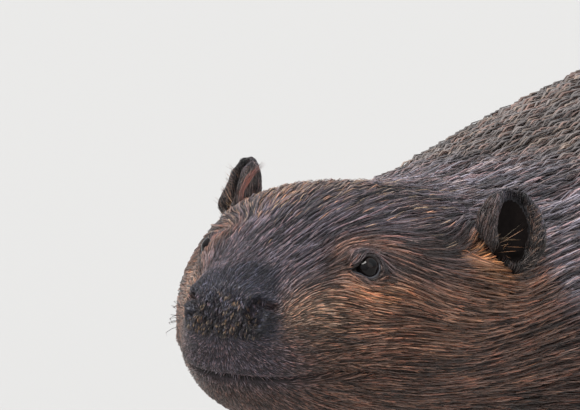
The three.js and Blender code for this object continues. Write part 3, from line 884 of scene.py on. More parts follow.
def grow(ground, roots, kind, lane_lines, gather=1.0, size=(1, 1), layers=(0.25, 1.0)):
    """Spines, girths and tones of locks, drawn by wetness towards the lanes; fine locks in the gaps
    between clumps darkened as painted shade.
    """
    count = len(roots)
    length = lock_length(roots) * (0.7 + 0.6 * dice.random(count)) * size[0]
    wander, bend = dice.normal(0, 0.035, count), dice.normal(0, 0.02, count)
    places, ups = ground.walk(roots, length, STEPS[kind], wander, bend)
    samples, ways, numbers, gaps, tree = lane_lines
    low, high = layers
    layer = np.maximum(coat_depth(roots), 0.8) * (low + (high - low) * dice.random(count) ** 0.8)
    layer *= 1 - 0.5 * bell(roots, (47, 92, 16), 13)
    clump_tone, clump_wet, clump_gap_shade = dice.random((3, int(numbers.max()) + 1))
    tone = 0.42 * dice.random(count)
    loose = 0.7 + 0.35 * dice.random(count)
    shifts, rises = np.zeros_like(places), np.zeros(places.shape[:2])
    for k, (share, height) in enumerate(zip(GATHER[kind], HEIGHT[kind])):
        found = nearest_in(tree, places[:, k])
        offset = samples[found] - places[:, k]
        offset -= ways[found] * dots(offset, ways[found])
        offset -= ups[:, k] * dots(offset, ups[:, k])
        away = lengths(offset) / (gaps[found] / 2)
        pull = gather * loose * (0.5 + 0.6 * clump_wet[numbers[found]])
        shifts[:, k] = offset * (np.clip(2.2 - away, 0, 1) * share * np.clip(pull, 0, 1))[:, None]
        rises[:, k] = layer * height * (1 - 0.75 * np.clip(away, 0, 1) ** 2 if height > 0 else 1)
        if k == 1:
            tone += 0.58 * clump_tone[numbers[found]]
            # Painted shade: in some clumps the locks at the edges, in the gaps between clumps, are
            # darkened
            gap_shade = np.clip(1.7 * clump_gap_shade[numbers[found]] - 0.4, 0, 1)
            parted = gap_shade * smoothstep(away, 0.42, 0.85)
    for _ in range(2):  # eases the bends between neighbouring rings
        middle = (shifts[:, :-2] + 2 * shifts[:, 1:-1] + shifts[:, 2:]) / 4
        shifts = np.concatenate([shifts[:, :1], middle, shifts[:, -1:]], 1)
    places = places + shifts + ups * rises[:, :, None]
    width = lock_width(roots) * (0.65 + 0.7 * dice.random(count)) * size[1]
    crest = smoothstep(roots[:, 2], 20, 28) * smoothstep(roots[:, 1], 30, 60)
    tone = 0.48 + (tone - 0.48) * (1 + 0.5 * crest)  # clumps stand out most on the crown
    tone += 0.7 * (dice.random(count) - 0.5) * fade(roots[:, 1], 14, 26)
    if kind == "fine":
        tone = np.clip(tone, 0.02, 1.2) * (1 - 0.95 * parted)
    else:
        tone = 0.5 + 0.5 * (tone - 0.5)
    seed = dice.random(count)
    plain = (near_eye(roots, 10) > 0.35) & (seed < GOLD_SEED)  # no golden tips round the eyes
    seed = np.where(plain, 0.5, seed)
    return {"kind": kind, "roots": roots, "places": ORIGIN + places * MM, "ups": ups,
            "width": width, "tone": tone, "seed": seed}


def chosen_locks(locks, keep):
    return {k: (v[keep] if isinstance(v, np.ndarray) else v) for k, v in locks.items()}


def lock_faces(rings):
    """Triangles of one three-sided lock: from its root point, along its sides, to its tip."""
    last, root, tip = (rings - 1) * 3, rings * 3, rings * 3 + 1
    faces = [((k + 1) % 3, root, k) for k in range(3)]
    for ring in range(rings - 1):
        for k in range(3):
            a, b = ring * 3 + k, ring * 3 + (k + 1) % 3
            faces += [(a, a + 3, b), (b, a + 3, b + 3)]
    faces += [(last + k, tip, last + (k + 1) % 3) for k in range(3)]
    return np.array(faces)


LOCK_HEIGHT = 0.9  # of its girth


def lock_mesh(name, locks, material, patch, colour=None):
    """One closed, three-sided, tapering lock along each spine."""
    places, ups, width = locks["places"], locks["ups"], locks["width"]
    girth = np.array(GIRTH[locks["kind"]])
    count, rings = len(places), len(girth)
    run = unit(np.gradient(places, axis=1))
    across = unit(np.cross(ups, run))
    rise = unit(np.cross(run, across))
    roll = dice.normal(0, 0.25, count)[:, None, None]
    across, rise = (across * np.cos(roll) + rise * np.sin(roll),
                    rise * np.cos(roll) - across * np.sin(roll))
    half = (width[:, None] * girth / 2 * MM)[:, :, None]
    body, over, top = (values[:, 1:-1] for values in (places, across, rise))
    corners = np.stack([body - over * half, body + over * half, body + top * half * LOCK_HEIGHT], 2)
    points = np.concatenate([corners.reshape(count, -1, 3), places[:, :1], places[:, -1:]], 1)
    faces = lock_faces(rings)
    one = points[0] - points[0].mean(0)
    volume = np.einsum("ij,ij->", one[faces[:, 0]], np.cross(one[faces[:, 1]], one[faces[:, 2]]))
    if volume < 0:
        faces = faces[:, ::-1]
    each = rings * 3 + 2
    every = (faces[None] + (np.arange(count) * each)[:, None, None]).reshape(-1, 3)
    mesh = bpy.data.meshes.new(name)
    mesh.vertices.add(count * each)
    mesh.vertices.foreach_set("co", points.reshape(-1))
    mesh.loops.add(every.size)
    mesh.loops.foreach_set("vertex_index", every.reshape(-1).astype(np.int32))
    mesh.polygons.add(len(every))
    mesh.polygons.foreach_set("loop_start", np.arange(len(every), dtype=np.int32) * 3)
    mesh.update(calc_edges=True)
    ob = in_scene(name, mesh)
    smooth_shaded(ob)
    along = np.tile([*np.repeat(STEPS[locks["kind"]][:rings], 3), 0.0, 1.0], count)
    strand = np.tile([*np.tile([0.0, 1.0, 0.5], rings), 0.5, 0.5], count)
    shade = coat_colour(locks["roots"]) if colour is None else colour
    tone, seed = np.repeat(locks["tone"], each), np.repeat(locks["seed"], each)
    for label, values in (("along", along), ("strand", strand), ("tone", tone), ("seed", seed)):
        set_floats(ob, label, values)
    set_colours(ob, np.repeat(shade, each, axis=0))
    uv = np.repeat(patch(locks["roots"]), each, axis=0)
    uv += np.stack([strand - 0.5, along - 0.5], 1) * PATCH
    layer = mesh.uv_layers.new(name="OFBake")
    layer.data.foreach_set("uv", uv[every.reshape(-1)].astype(np.float32).ravel())
    mesh.materials.append(material)
    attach(ob, "root")


PATCH = 0.003  # of the unrolled skin, for each lock


def tube_patch(middle):
    """Where roots lie on the skin unrolled as a tube: round the body, and along it."""
    def patch(roots):
        axis = np.interp(roots[:, 1], [0, 60, 150, 300, 600, 835], [2, -12, -22, -80, -90, -50])
        turned = np.arctan2(roots[:, 0], roots[:, 2] - axis) - middle
        turned = (turned + math.pi) % (2 * math.pi) - math.pi
        flat = np.minimum(np.hypot(roots[:, 0], roots[:, 2] - axis), 40)
        run = roots[:, 1] + 0.6 * flat * fade(roots[:, 1], 20, 60)
        return np.stack([fitted(turned), fitted(run)], 1)
    return patch


def fitted(values):
    return 0.005 + 0.99 * (values - values.min()) / max(np.ptp(values), 1e-6)


# ---- Materials ----
class Nodes:
    """The shader nodes of a material or a group."""

    def __init__(self, tree):
        self.tree = tree

    def fill(self, made, inputs):
        """Sets a node's inputs to values, or links them to other nodes' outputs."""
        for key, value in inputs.items():
            if isinstance(value, bpy.types.NodeSocket):
                self.tree.links.new(value, made.inputs[key])
            else:
                made.inputs[key].default_value = value
        return made

    def node(self, kind, inputs=None, **settings):
        made = self.tree.nodes.new(kind)
        for key, value in settings.items():
            setattr(made, key, value)
        return self.fill(made, inputs or {})

    def attribute(self, name, output="Fac"):
        return self.node("ShaderNodeAttribute", attribute_name=name).outputs[output]

    def math(self, operation, *values):
        return self.node("ShaderNodeMath", dict(enumerate(values)), operation=operation).outputs[0]

    def times(self, first, second):
        return self.math("MULTIPLY", first, second)

    def scaled(self, value, factor, added):
        return self.math("MULTIPLY_ADD", value, factor, added)

    def mix(self, share, first, second, blend="MIX"):
        inputs = {0: share, 6: first, 7: second}
        made = self.node("ShaderNodeMix", inputs, data_type="RGBA", blend_type=blend)
        return made.outputs[2]

    def tinted(self, colour, tint):
        return self.mix(1.0, colour, tint, "MULTIPLY")

    def ranged(self, value, *ends):
        """The value, taken from between the first two ends to between the last two."""
        return self.node("ShaderNodeMapRange", dict(enumerate((value, *ends)))).outputs[0]

    def own_place(self):
        return self.node("ShaderNodeTexCoord").outputs["Object"]

    def noise(self, scale, detail, stretch=None, where=None, **more):
        """Noise over the object's own coordinates, stretched or not, or over another place."""
        where = where or self.own_place()
        if stretch:
            where = self.node("ShaderNodeMapping", {"Vector": where, "Scale": stretch}).outputs[0]
        inputs = {"Vector": where, "Scale": scale, "Detail": detail, **more}
        return self.node("ShaderNodeTexNoise", inputs).outputs[0]

    def grey(self, light):
        return self.node("ShaderNodeCombineColor", {0: light, 1: light, 2: light}).outputs[0]


class Material(Nodes):
    """A new material with one principled shader."""

    def __init__(self, name):
        self.made = bpy.data.materials.new(name)
        self.made.use_nodes = True
        super().__init__(self.made.node_tree)
        self.tree.nodes.clear()
        self.shader = self.node("ShaderNodeBsdfPrincipled")
        self.node("ShaderNodeOutputMaterial", {0: self.shader.outputs[0]})

    def finish(self, colour, roughness, relief=None, **more):
        """Colour, roughness and other inputs, and the relief: its height, strength and depth."""
        more = {key.replace("_", " "): value for key, value in more.items()}
        self.fill(self.shader, {"Base Color": colour, "Roughness": roughness, **more})
        if relief:
            inputs = dict(zip(("Height", "Strength", "Distance"), relief))
            bump = self.node("ShaderNodeBump", inputs).outputs[0]
            self.fill(self.shader, {"Normal": bump})
        return self.made


def set_floats(ob, name, values):
    made = ob.data.attributes.new(name, "FLOAT", "POINT")
    made.data.foreach_set("value", values.astype(np.float32))


def set_colours(ob, colours):
    """The coat's or the hide's colour at each corner of the mesh."""
    made = ob.data.attributes.new("marking", "FLOAT_COLOR", "POINT")
    colours = np.concatenate([colours, np.ones((len(colours), 1))], 1)
    made.data.foreach_set("color", colours.astype(np.float32).ravel())


# Locks whose seed lies over the first have reddish tips, and under the second golden ones
RED_SEED, RED_TINT = 0.74, (1.7, 0.98, 0.72, 1)
GOLD_SEED, GOLD_TINT = 0.14, (2.2, 1.75, 1.25, 1)


def strands_group():
    """Colour and height of one lock: dark at the root, darker underfur with painted shade deep in the
    coat, streaked along it, some tips red or gold.
    """
    tree = bpy.data.node_groups.new("wet_strands", "ShaderNodeTree")
    for label, value in {"Marking": (0.1, 0.08, 0.07, 1), "Along": 0.0, "Strand": 0.0, "Tone": 0.5,
                         "Seed": 0.5, "Streaks": 3.0, "Root": 0.2}.items():
        kind = "NodeSocketColor" if label == "Marking" else "NodeSocketFloat"
        socket = tree.interface.new_socket(label, in_out="INPUT", socket_type=kind)
        socket.default_value = value
    tree.interface.new_socket("Color", in_out="OUTPUT", socket_type="NodeSocketColor")
    tree.interface.new_socket("Height", in_out="OUTPUT", socket_type="NodeSocketFloat")
    look = Nodes(tree)
    given = look.node("NodeGroupInput").outputs
    along, tone, seed = given["Along"], given["Tone"], given["Seed"]
    across = look.scaled(seed, 41.0, look.times(given["Strand"], given["Streaks"]))
    where = look.node("ShaderNodeCombineXYZ", {0: across, 1: along, 2: tone}).outputs[0]
    streak = look.ranged(look.noise(2.2, 2.0, where=where), 0.3, 0.7, 0.0, 1.0)
    # Painted shade: each lock darkens towards its root, deep in the coat, over darker underfur
    root = look.ranged(along, 0.0, 0.6, given["Root"], 1.0)
    light = look.times(root, look.scaled(look.math("POWER", tone, 1.4), 2.15, 0.15))
    light = look.times(light, look.scaled(streak, 0.7, 0.62))
    colour = look.tinted(given["Marking"], look.grey(light))
    red = look.times(look.math("GREATER_THAN", seed, RED_SEED), look.scaled(along, 0.5, 0.2))
    colour = look.mix(red, colour, look.tinted(colour, RED_TINT))
    gold = look.times(look.math("LESS_THAN", seed, GOLD_SEED), look.times(along, 0.7))
    colour = look.mix(gold, colour, look.tinted(colour, GOLD_TINT))
    look.node("NodeGroupOutput", {"Color": colour, "Height": streak})
    return tree


def coat_material(name, streaks, root, roughness, coat):
    look = Material(name)
    inputs = {of.title(): look.attribute(of) for of in ("along", "strand", "tone", "seed")}
    inputs |= {"Marking": look.attribute("marking", "Color"), "Streaks": streaks, "Root": root}
    made = look.node("ShaderNodeGroup", inputs, node_tree=wet_strands).outputs
    return look.finish(made["Color"], roughness, (made["Height"], 0.5, 0.0004),
                       Coat_Weight=coat, Coat_Roughness=0.16)


def skin_material():
    """Dark underfur with painted shade between the locks, and the grained bare skin of nose, lids,
    feet and tail.
    """
    look = Material("beaver_skin")
    marking, bare = look.attribute("marking", "Color"), look.attribute("bare")
    grain = look.node("ShaderNodeTexVoronoi", {"Vector": look.own_place(), "Scale": 900.0})
    fine, broad = look.noise(700.0, 5.0), look.noise(60.0, 4.0)
    light = look.scaled(fine, 0.9, 0.55)
    light = look.times(light, look.scaled(broad, 0.7, 0.65))
    colour = look.tinted(marking, look.grey(light))
    height = look.mix(bare, fine, grain.outputs["Distance"])
    return look.finish(colour, look.ranged(bare, 0.0, 1.0, 0.75, 0.42), (height, 0.6, 0.0004),
                       Specular_IOR_Level=0.35)


wet_strands = strands_group()
# Streaks, how light the roots are (painted shade deep in the coat over darker underfur), roughness
# and coat weight
fine_coat = coat_material("wet_head_coat", 2.0, 0.2, 0.34, 0.25)
broad_coat = coat_material("wet_body_coat", 6.0, 0.5, 0.36, 0.3)

# Skin colours
bare = fade(skin_at[:, 1], 8, 20) * smoothstep(skin_at[:, 2], -14, -4)
bare = np.maximum(bare, fade(beyond_lids, 1.2, 2.5))
# Under the coat, the coat's colour darkened: darker underfur with painted shade under the locks
skin_colour = coat_colour(skin_at) * 0.30
skin_colour = blend(skin_colour, LEATHER, bare * 0.7)
# The lids' dark skin, darkened as painted shade so that it reads as fur in shadow
skin_colour = blend(skin_colour, LID_SKIN_SHADE, fade(beyond_lids, 1.6, 4.5))
lower_rim = np.zeros(len(skin_at))
for word in SIDES:
    _, high, _, beyond = lid_place(word, skin_points)
    close = lengths(skin_at - EYE[word]) < 12
    band = smoothstep(beyond, -0.25, 0.0) * fade(beyond, 0.28, 0.55)
    lower_rim = np.maximum(lower_rim, band * close * smoothstep(high, 0.2, -1.6))
skin_colour = blend(skin_colour, LID_GREY, lower_rim)
# Painted shade down in the nostrils and in the mouth's crease
skin_colour = blend(skin_colour, NOSTRIL_SHADE, fade(nostril_gap, 1.6, 3.0))
skin_colour = blend(skin_colour, MOUTH_SHADE, fade(mouth_gap, 0.5, 1.8))
set_colours(skin, skin_colour)
set_floats(skin, "bare", bare)
skin.data.materials.append(skin_material())

# Coat
behind = skin_at[:, 1]
thick = thickness_of_coat(skin_at)
closeness = np.interp(behind, [150, 270], [0.45, 0.75])
per_area = thick / (lock_length(skin_at) * lock_width(skin_at)) ** closeness
HEAD_LOCKS, NECK_LOCKS, BODY_LOCKS = (int(n * COAT_SHARE) for n in (65500, 18000, 55000))
LANES_TRIED = 60000
to_neck, to_body = smoothstep(behind, 150, 158), smoothstep(behind, 262, 272)
lane_lines = lanes(ground, thick / lane_gap(skin_at) ** 2, lane_gap, LANES_TRIED, lane_run)
head_locks = grow(ground, ground.scatter(per_area * (1 - to_neck), HEAD_LOCKS), "fine", lane_lines)
head_locks = chosen_locks(head_locks, clear_of_openings(head_locks))
neck_roots = ground.scatter(per_area * to_neck * (1 - to_body), NECK_LOCKS)
neck_locks = grow(ground, neck_roots, "fine", lane_lines, 0.6)
body_locks = grow(ground, ground.scatter(per_area * to_body, BODY_LOCKS), "broad", lane_lines, 0.4)


def in_halves(name, locks, keep, material, middle):
    """A part of the coat as a left and a right piece, each unrolled about that angle."""
    for word, side in SIDES.items():
        half = chosen_locks(locks, keep & ((locks["roots"][:, 0] >= 0) == (side > 0)))
        lock_mesh(f"coat_{name}_{word}", half, material, tube_patch(middle * side))


MUZZLE_END, CROWN_EDGE, FORE_END = 62, 6, 500  # where the coat's pieces part
FLANK, CROWN, CHEEK = 1.57, 0.8, 2.2  # and their middles, as angles from the top of the body
behind, above = head_locks["roots"][:, 1], head_locks["roots"][:, 2]
in_halves("head_muzzle", head_locks, behind < MUZZLE_END, fine_coat, FLANK)
in_halves("head_crown", head_locks, (behind >= MUZZLE_END) & (above > CROWN_EDGE), fine_coat, CROWN)
in_halves("head_cheek", head_locks, (behind >= MUZZLE_END) & (above <= CROWN_EDGE), fine_coat, CHEEK)
in_halves("neck", neck_locks, np.ones(len(neck_roots), bool), fine_coat, FLANK)
behind = body_locks["roots"][:, 1]
in_halves("body_fore", body_locks, behind < FORE_END, broad_coat, FLANK)
in_halves("body_hind", body_locks, behind >= FORE_END, broad_coat, FLANK)


# ---- Eyes ----
def shade_material():
    """The unlit depths of the ears, nostrils and mouth."""
    look = Material("deep_shade")
    colour = look.mix(look.noise(700.0, 3.0), (0.003, 0.002, 0.002, 1), (0.012, 0.009, 0.008, 1))
    return look.finish(colour, 0.9, Specular_IOR_Level=0.08)


def in_shade(ob, corners):
    """Gives the faces whose corners are all chosen the material of the depths."""
    ob.data.materials.append(depths)
    numbers = np.where(faces_inside(ob, corners), len(ob.data.materials) - 1, 0)
    ob.data.polygons.foreach_set("material_index", numbers)


depths = shade_material()
in_shade(skin, (nostril_gap < 2.5) | (mouth_gap < 0.45))


def eye_material():
    """Near-black brown ball under a clear wet front, its iris a little lighter."""
    look = Material("dark_eye")
    toward_pupil = look.attribute("pupil")
    iris = look.ranged(toward_pupil, 0.80, 0.93, 0.0, 1.0)
    pupil = look.ranged(toward_pupil, 0.93, 0.945, 0.0, 1.0)
    flecks = look.noise(1500.0, 3.0)
    brown = look.mix(flecks, (0.005, 0.003, 0.0025, 1), (0.014, 0.007, 0.0045, 1))
    colour = look.mix(iris, (0.004, 0.003, 0.003, 1), brown)
    colour = look.mix(pupil, colour, (0.002, 0.002, 0.002, 1))
    return look.finish(colour, 0.08, Specular_IOR_Level=0.05, Coat_Weight=0.34,
                       Coat_Roughness=0.03)


eye_finish = eye_material()
CORNEA = 0.35  # how far the eye's clear front stands out
for word in SIDES:
    radius = (EYE_RADIUS - 0.05) * MM  # clear of the ball that it replaces
    bpy.ops.mesh.primitive_uv_sphere_add(segments=64, ring_count=40, radius=radius)
    ball = bpy.context.object
    ball.name = ball.data.name = f"eyeball_{word}"
    outward, back, up = eye_frames[word]
    local = points_of(ball)
    facing_out = local[:, 2] / (EYE_RADIUS * MM)
    local += unit(local) * (CORNEA * MM * smoothstep(facing_out, 0.72, 0.95))[:, None]
    turned = local[:, :1] * back + local[:, 1:2] * np.cross(outward, back) + local[:, 2:] * outward
    move_points(ball, turned + EYE_CENTRE[word])
    set_floats(ball, "pupil", facing_out)
    smooth_shaded(ball)
    ball.data.materials.append(eye_finish)
    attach(ball, "root")
    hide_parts(f"{word}_eye")


# ---- Ears: rounded cups, short fur outside, painted shade inside with fine hairs across the opening ----
EAR_EDGE = (15.0, 17.5)  # half width and half height of the whole ear
EAR_VOXEL = 0.9
EAR_LANES, EAR_LOCKS = 6000, 4200
# Fine hairs: where, their lean in the ear's frame, reach, number, width, bow, looseness, how flat
# they lie, and colour
EAR_HAIRS = [
    ("rear wall", (0.86, 0.0, 0.36), (3.0, 6.5), 260, 0.13, 0.1, 0.16, 1.0, (0.190, 0.145, 0.125)),
    ("fringe", (0.95, 0.20, 0.10), (3.0, 11.0), 16, 0.11, 0.8, 0.26, 0.0, (0.300, 0.190, 0.105)),
    ("fringe", (0.88, 0.18, 0.42), (13.0, 18.0), 2, 0.13, 0.8, 0.13, 0.0, (0.420, 0.320, 0.220)),
]


def ear_colour(word, at):
    rear, out, up, ring = ear_place(word, at)
    colour = repeated(EAR_GREY, len(at))
    colour = blend(colour, EAR_BROWN, smoothstep(-rear, 2, 9) * 0.8)
    # Darker over the lower half: painted shade
    colour = blend(colour, EAR_LOW_SHADE, smoothstep(-up, 0, 8))
    # Painted shade on the inner rear wall by the opening
    wall = fade(ring, 0.95, 1.35) * smoothstep(out, -5, -2) * smoothstep(rear, -1, 4)
    return blend(colour, EAR_WALL_SHADE, 0.85 * wall)


def open_rear_wall(word, ear):
    """Thins the ear behind and above its opening, so that the hollow slopes up to a fine edge."""
    points = points_of(ear)
    at = measured(points)
    rear, out, up, ring = ear_place(word, at)
    outline = np.hypot(rear / EAR_EDGE[0], up / EAR_EDGE[1])
    share = np.clip((ring - 1) / np.maximum(ring / np.maximum(outline, 0.1) - 1, 0.05), 0, 1)
    there = smoothstep(rear + 0.35 * up, -1, 6)
    sunk = 5.2 * (1 - share) ** 0.8 * there * fade(-up, 6, 12)
    sunk += 6.5 * smoothstep(-up, 5, 12) * smoothstep(rear, -13, -7)
    sunk *= smoothstep(out, -4.5, 3.5)
    move_points(ear, points - ear_axes(word)[1] * sunk[:, None] * MM)


def hairs_on(places, ups, width, darkest):
    """Fine locks along those places, their widths and tones a little uneven."""
    count = len(places)
    return {"kind": "fine", "roots": places[:, 0], "places": ORIGIN + places * MM, "ups": ups,
            "width": width * (0.7 + 0.6 * dice.random(count)),
            "tone": darkest + (1 - darkest) * dice.random(count), "seed": dice.random(count)}


def straight_hairs(starts, ends, ups, width, bow):
    """Single tapering hairs from start to end, bowed out along ups; all in millimetres."""
    t = np.array([0, *STEPS["fine"]])[None, :, None]
    places = starts[:, None] * (1 - t) + ends[:, None] * t
    places = places + ups[:, None] * (4 * t * (1 - t) * bow)
    return hairs_on(places, np.repeat(ups[:, None], 4, 1), width, 0.3)


def ear_patch(word):
    """An ear unrolled: round its opening, and outwards from the middle."""
    def patch(roots):
        rear, out, up, ring = ear_place(word, roots)
        return np.stack([fitted(np.arctan2(up, rear)), fitted(ring - out * 0.08)], 1)
    return patch


def make_ear(word):
    rear_way, out_way, up_way = ear_axes(word)
    ear = even_skin([f"{word}_ear"], f"ear_{word}", EAR_VOXEL, 7, 7)
    open_rear_wall(word, ear)
    at, normals = measured(points_of(ear)), normals_of(ear)
    rear, out, up, ring = ear_place(word, at)
    inside = fade(ring, 0.72, 0.95) * smoothstep(out, -8.5, -5)
    # The skin under the short fur darkened as painted shade, and near black in the opening as painted
    # shade
    shade = blend(ear_colour(word, at) * 0.45, EAR_DEEP_SHADE, inside)
    set_colours(ear, shade)
    set_floats(ear, "bare", 0.5 * inside)
    smooth_shaded(ear)
    ear.data.materials.append(skin_finish)
    in_shade(ear, inside > 0.35)
    way = flat_on(rear_way * 0.35 + up_way + 0 * at, normals)
    grown = Ground(ear, way)
    thick = fade(inside, 0.2, 0.7)
    lines = lanes(grown, thick, lambda r: np.full(len(r), 1.1), EAR_LANES,
                  lambda r: np.full(len(r), 6.0))
    roots = grown.scatter(thick, int(EAR_LOCKS * COAT_SHARE))
    locks = grow(grown, roots, "fine", lines, 0.6, (0.19, 0.6), (0.10, 0.30))
    patch = ear_patch(word)
    lock_mesh(f"coat_ear_{word}", locks, fine_coat, patch, ear_colour(word, roots))

    wall = (ring > 0.80) & (ring < 1.15) & (rear > 2) & (up < 9) & (normals @ out_way > 0.25)
    fringe = (rear < -5) & (rear > -14) & (up < -2) & (out > -1)
    here = {"rear wall": np.where(wall)[0], "fringe": np.where(fringe)[0]}
    made = []
    for where, ways, reach, count, width, bow, loose, flat, _ in EAR_HAIRS:
        picked = dice.choice(here[where], count)
        starts, ups = at[picked], normals[picked]
        lean = rear_way * ways[0] + out_way * ways[1] + up_way * ways[2]
        lean = lean + dice.normal(0, loose, (count, 3))
        lean = lean - ups * dots(lean, ups) * flat + ups * 0.1 * flat
        ends = starts + unit(lean) * dice.uniform(*reach, count)[:, None]
        made.append(straight_hairs(starts, ends, np.tile(out_way, (count, 1)), width, bow))
    for number, hairs in enumerate(made):
        colours = repeated(EAR_HAIRS[number][-1], len(hairs["roots"]))
        name = f"coat_ear_hairs_{word}_{number}"
        lock_mesh(name, hairs, fine_coat, patch, colours)
    return ear


NARROWING = np.array([(1.0,), (0.6,), (0.3,), (0.08,)])  # of a drawn-together lock, along it


def drawn_lock(path, count, spread, rise, width):
    """Hairs rooted in the skin and drawn together over it along four places, to one point."""
    path, _ = ground.settle(np.array(path, float))
    way = unit(path[-1] - path[0])
    ups = ground.normals[nearest_in(ground.tree, path)]
    aside = unit(np.cross(ups, way))
    offset = dice.normal(0, spread, count)[:, None, None] * aside * NARROWING
    slid = dice.uniform(-0.16, 0.10, count)[:, None, None] * (path[-1] - path[0]) * NARROWING[::-1]
    places = path + offset + slid
    places[:, 0] = ground.settle(places[:, 0] + dice.normal(0, 0.5 * spread, (count, 3)))[0]
    lift = np.array([-0.6, *rise])[:, None] * (1 + dice.normal(0, 0.15, count)[:, None, None])
    return hairs_on(places + ups * lift, np.tile(ups, (count, 1, 1)), width, 0.2)


TUFT = np.array([(54.5, 104, 12.5), (58.3, 114, 10), (62.8, 125, 5.2), (68.5, 137, 1.8)])
TUFT_LOCKS = 150
OVER_EAR = np.array([(-45, 104, 23.5), (-48, 115, 24.5), (-50.0, 126, 28.0), (-49.5, 137, 31.5)])


def make_tufts():
    """A pointed tuft under each ear, and two locks of the crown over the right ear."""
    for word, side in SIDES.items():
        tuft = drawn_lock(TUFT * (side, 1, 1), TUFT_LOCKS, 2.4, (0.7, 1.5, 1.9), 0.40)
        shade = blend(repeated(TUFT_RED, TUFT_LOCKS), WARM, dice.random(TUFT_LOCKS))
        lock_mesh(f"coat_tuft_{word}", tuft, fine_coat, tube_patch(FLANK * side), shade)
    for number, (shift, count) in enumerate((((0, 0, 0), 22), ((-2.0, 5, -1.0), 9))):
        spine = OVER_EAR + shift
        lock = drawn_lock(spine, count, 0.55, (1.0, 2.0, 3.0), 0.32)
        lock["places"][:, 1:] += (ORIGIN + spine[1:] * MM) - lock["places"][:, 1:].mean(0)
        shade = repeated(LOCK_RED, count)
        lock_mesh(f"coat_lock_over_ear_{number}", lock, fine_coat, tube_patch(-CROWN), shade)


CROWN_TIPS = 1500


def make_crown_tips():
    """Pale pointed tips that stand a little clear of the wet crown."""
    at = ground.at
    here = bell(at, (22, 112, 30), (34, 36, 14)) * smoothstep(at[:, 2], 10, 18) * (ear_gap > 1.2)
    count = int(CROWN_TIPS * COAT_SHARE)
    here *= (1 + 2.2 * (at[:, 0] < -12)) * (1 - 0.75 * smoothstep(at[:, 0], -5, 15))
    roots = ground.scatter(here, count)
    tips = grow(ground, roots, "fine", lane_lines, 0.2, (0.85, 0.85), (0.9, 1.35))
    tips["tone"] = 0.35 + 0.65 * dice.random(count)
    shade = blend(repeated(PALE_TIP, count), MAUVE_SHEEN_GREY, dice.random(count))
    lock_mesh("coat_crown_tips", tips, fine_coat, tube_patch(0.0), shade)


skin_finish = skin.data.materials[0]
ears = [make_ear(word) for word in SIDES]
make_tufts()
make_crown_tips()


# ---- Whiskers, and the bristles of the nose ----
def make_whiskers():
    """Three rows of four on each side."""
    spots = np.array([
        (23 + 1.2 * row + 0.4 * k, 15 + 6 * k, 1 - 3.6 * row) for row in range(3) for k in range(4)
    ])
    for word, side in SIDES.items():
        starts, _ = ground.settle(spots * (side, 1, 1) + dice.normal(0, 0.8, spots.shape))
        _, found = ground.settle(starts)
        up, lies = ground.normals[found], ground.lie[found]
        length = dice.uniform(14, 34, len(starts))[:, None]
        ends = starts + unit(lies + up * 0.16 + np.array([0, 0, -0.30])) * length
        hairs = straight_hairs(starts, ends, up, 0.26, 3.0)
        dark = repeated(WHISKER, len(starts))
        lock_mesh(f"whiskers_{word}", hairs, fine_coat, tube_patch(FLANK * side), dark)


NOSE_BRISTLES, NOSE_KNOTS = 3000, 460  # hairs, and the wet points that they are drawn to
BRISTLE_FALL = np.array([0, -0.1, -0.85])


def make_nose_bristles():
    """Short stiff wet hair standing out of the front of the nose, some of it tipped yellow."""
    at = ground.at
    knots = int(NOSE_KNOTS * COAT_SHARE)
    thick = fade(at[:, 1], 6, 14) * smoothstep(at[:, 2], -4, -1)
    thick *= fade(at[:, 2], 5, 19)
    thick *= smoothstep(nostril_gap, 2.6, 3.1) * fade(np.abs(at[:, 0]), 14, 17)
    count = int(NOSE_BRISTLES * COAT_SHARE)
    starts, found = ground.settle(ground.scatter(thick, count))
    up = ground.normals[found]
    length = dice.uniform(1.2, 2.8, count)[:, None]
    way = up * 0.55 + BRISTLE_FALL + (dice.random((count, 3)) - 0.5) * 0.6
    ends = starts + unit(way) * length
    middles, found = ground.settle(ground.scatter(thick, knots))
    way = ground.normals[found] * 0.6 + BRISTLE_FALL + (dice.random((knots, 3)) - 0.5) * 0.9
    tips = middles + unit(way) * dice.uniform(1.4, 3.4, (knots, 1))
    knot = nearest_in(search_tree(middles), starts)
    ends += (tips[knot] - ends) * 0.45
    keep = np.minimum(from_nostril(ends), from_nostril((starts + ends) / 2)) > 2.9
    starts, ends, up, knot = starts[keep], ends[keep], up[keep], knot[keep]
    count = len(starts)
    hairs = straight_hairs(starts - up * 0.3, ends, up, 0.36, 0.35)
    low = fade(starts[:, 2], 0, 11)
    light, yellow = dice.random((2, knots))
    light = (0.36 + 1.9 * light[knot] ** 2) * dice.uniform(0.7, 1.3, count)
    gold = (yellow[knot] < 0.12 + 0.26 * low) * dice.uniform(0.2, 1.0, count) ** 1.2
    shade = blend(coat_colour(starts) * light[:, None], BRISTLE_YELLOW, gold)
    lock_mesh("coat_nose_bristles", hairs, fine_coat, tube_patch(0.0), shade)


make_whiskers()
make_nose_bristles()


# ---- Feet, claws and tail ----
PAW_VOXEL, HIND_VOXEL, BLADE_VOXEL = 1.35, 2.8, 3.4
# The hand's middle, and how it runs across and up for each step back
PALM, WRIST_RUN = (47, 204, -149), (7 / 18, -6 / 18)
WRIST, WRIST_SLIM = (202, 218), 0.36  # where the forepaw slims into the coat, and by how much
FINGER_GROOVE = (1.9, 1.1)  # how deep and how wide, between two fingers


def claw_roots(foot):
    """Where each of a foot's claws starts, and the way it points."""
    middle = points_of(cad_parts[foot]).mean(0)
    starts, ways = [], []
    for k in range(1, 6):
        horn = points_of(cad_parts[f"{foot}_claw_{k}".replace("hind_foot", "hind")])
        near = lengths(horn - middle)
        starts.append(horn[near < near.min() + 2 * MM].mean(0))
        ways.append(horn[near.argmax()] - starts[-1])
    return np.array(starts), unit(np.array(ways))


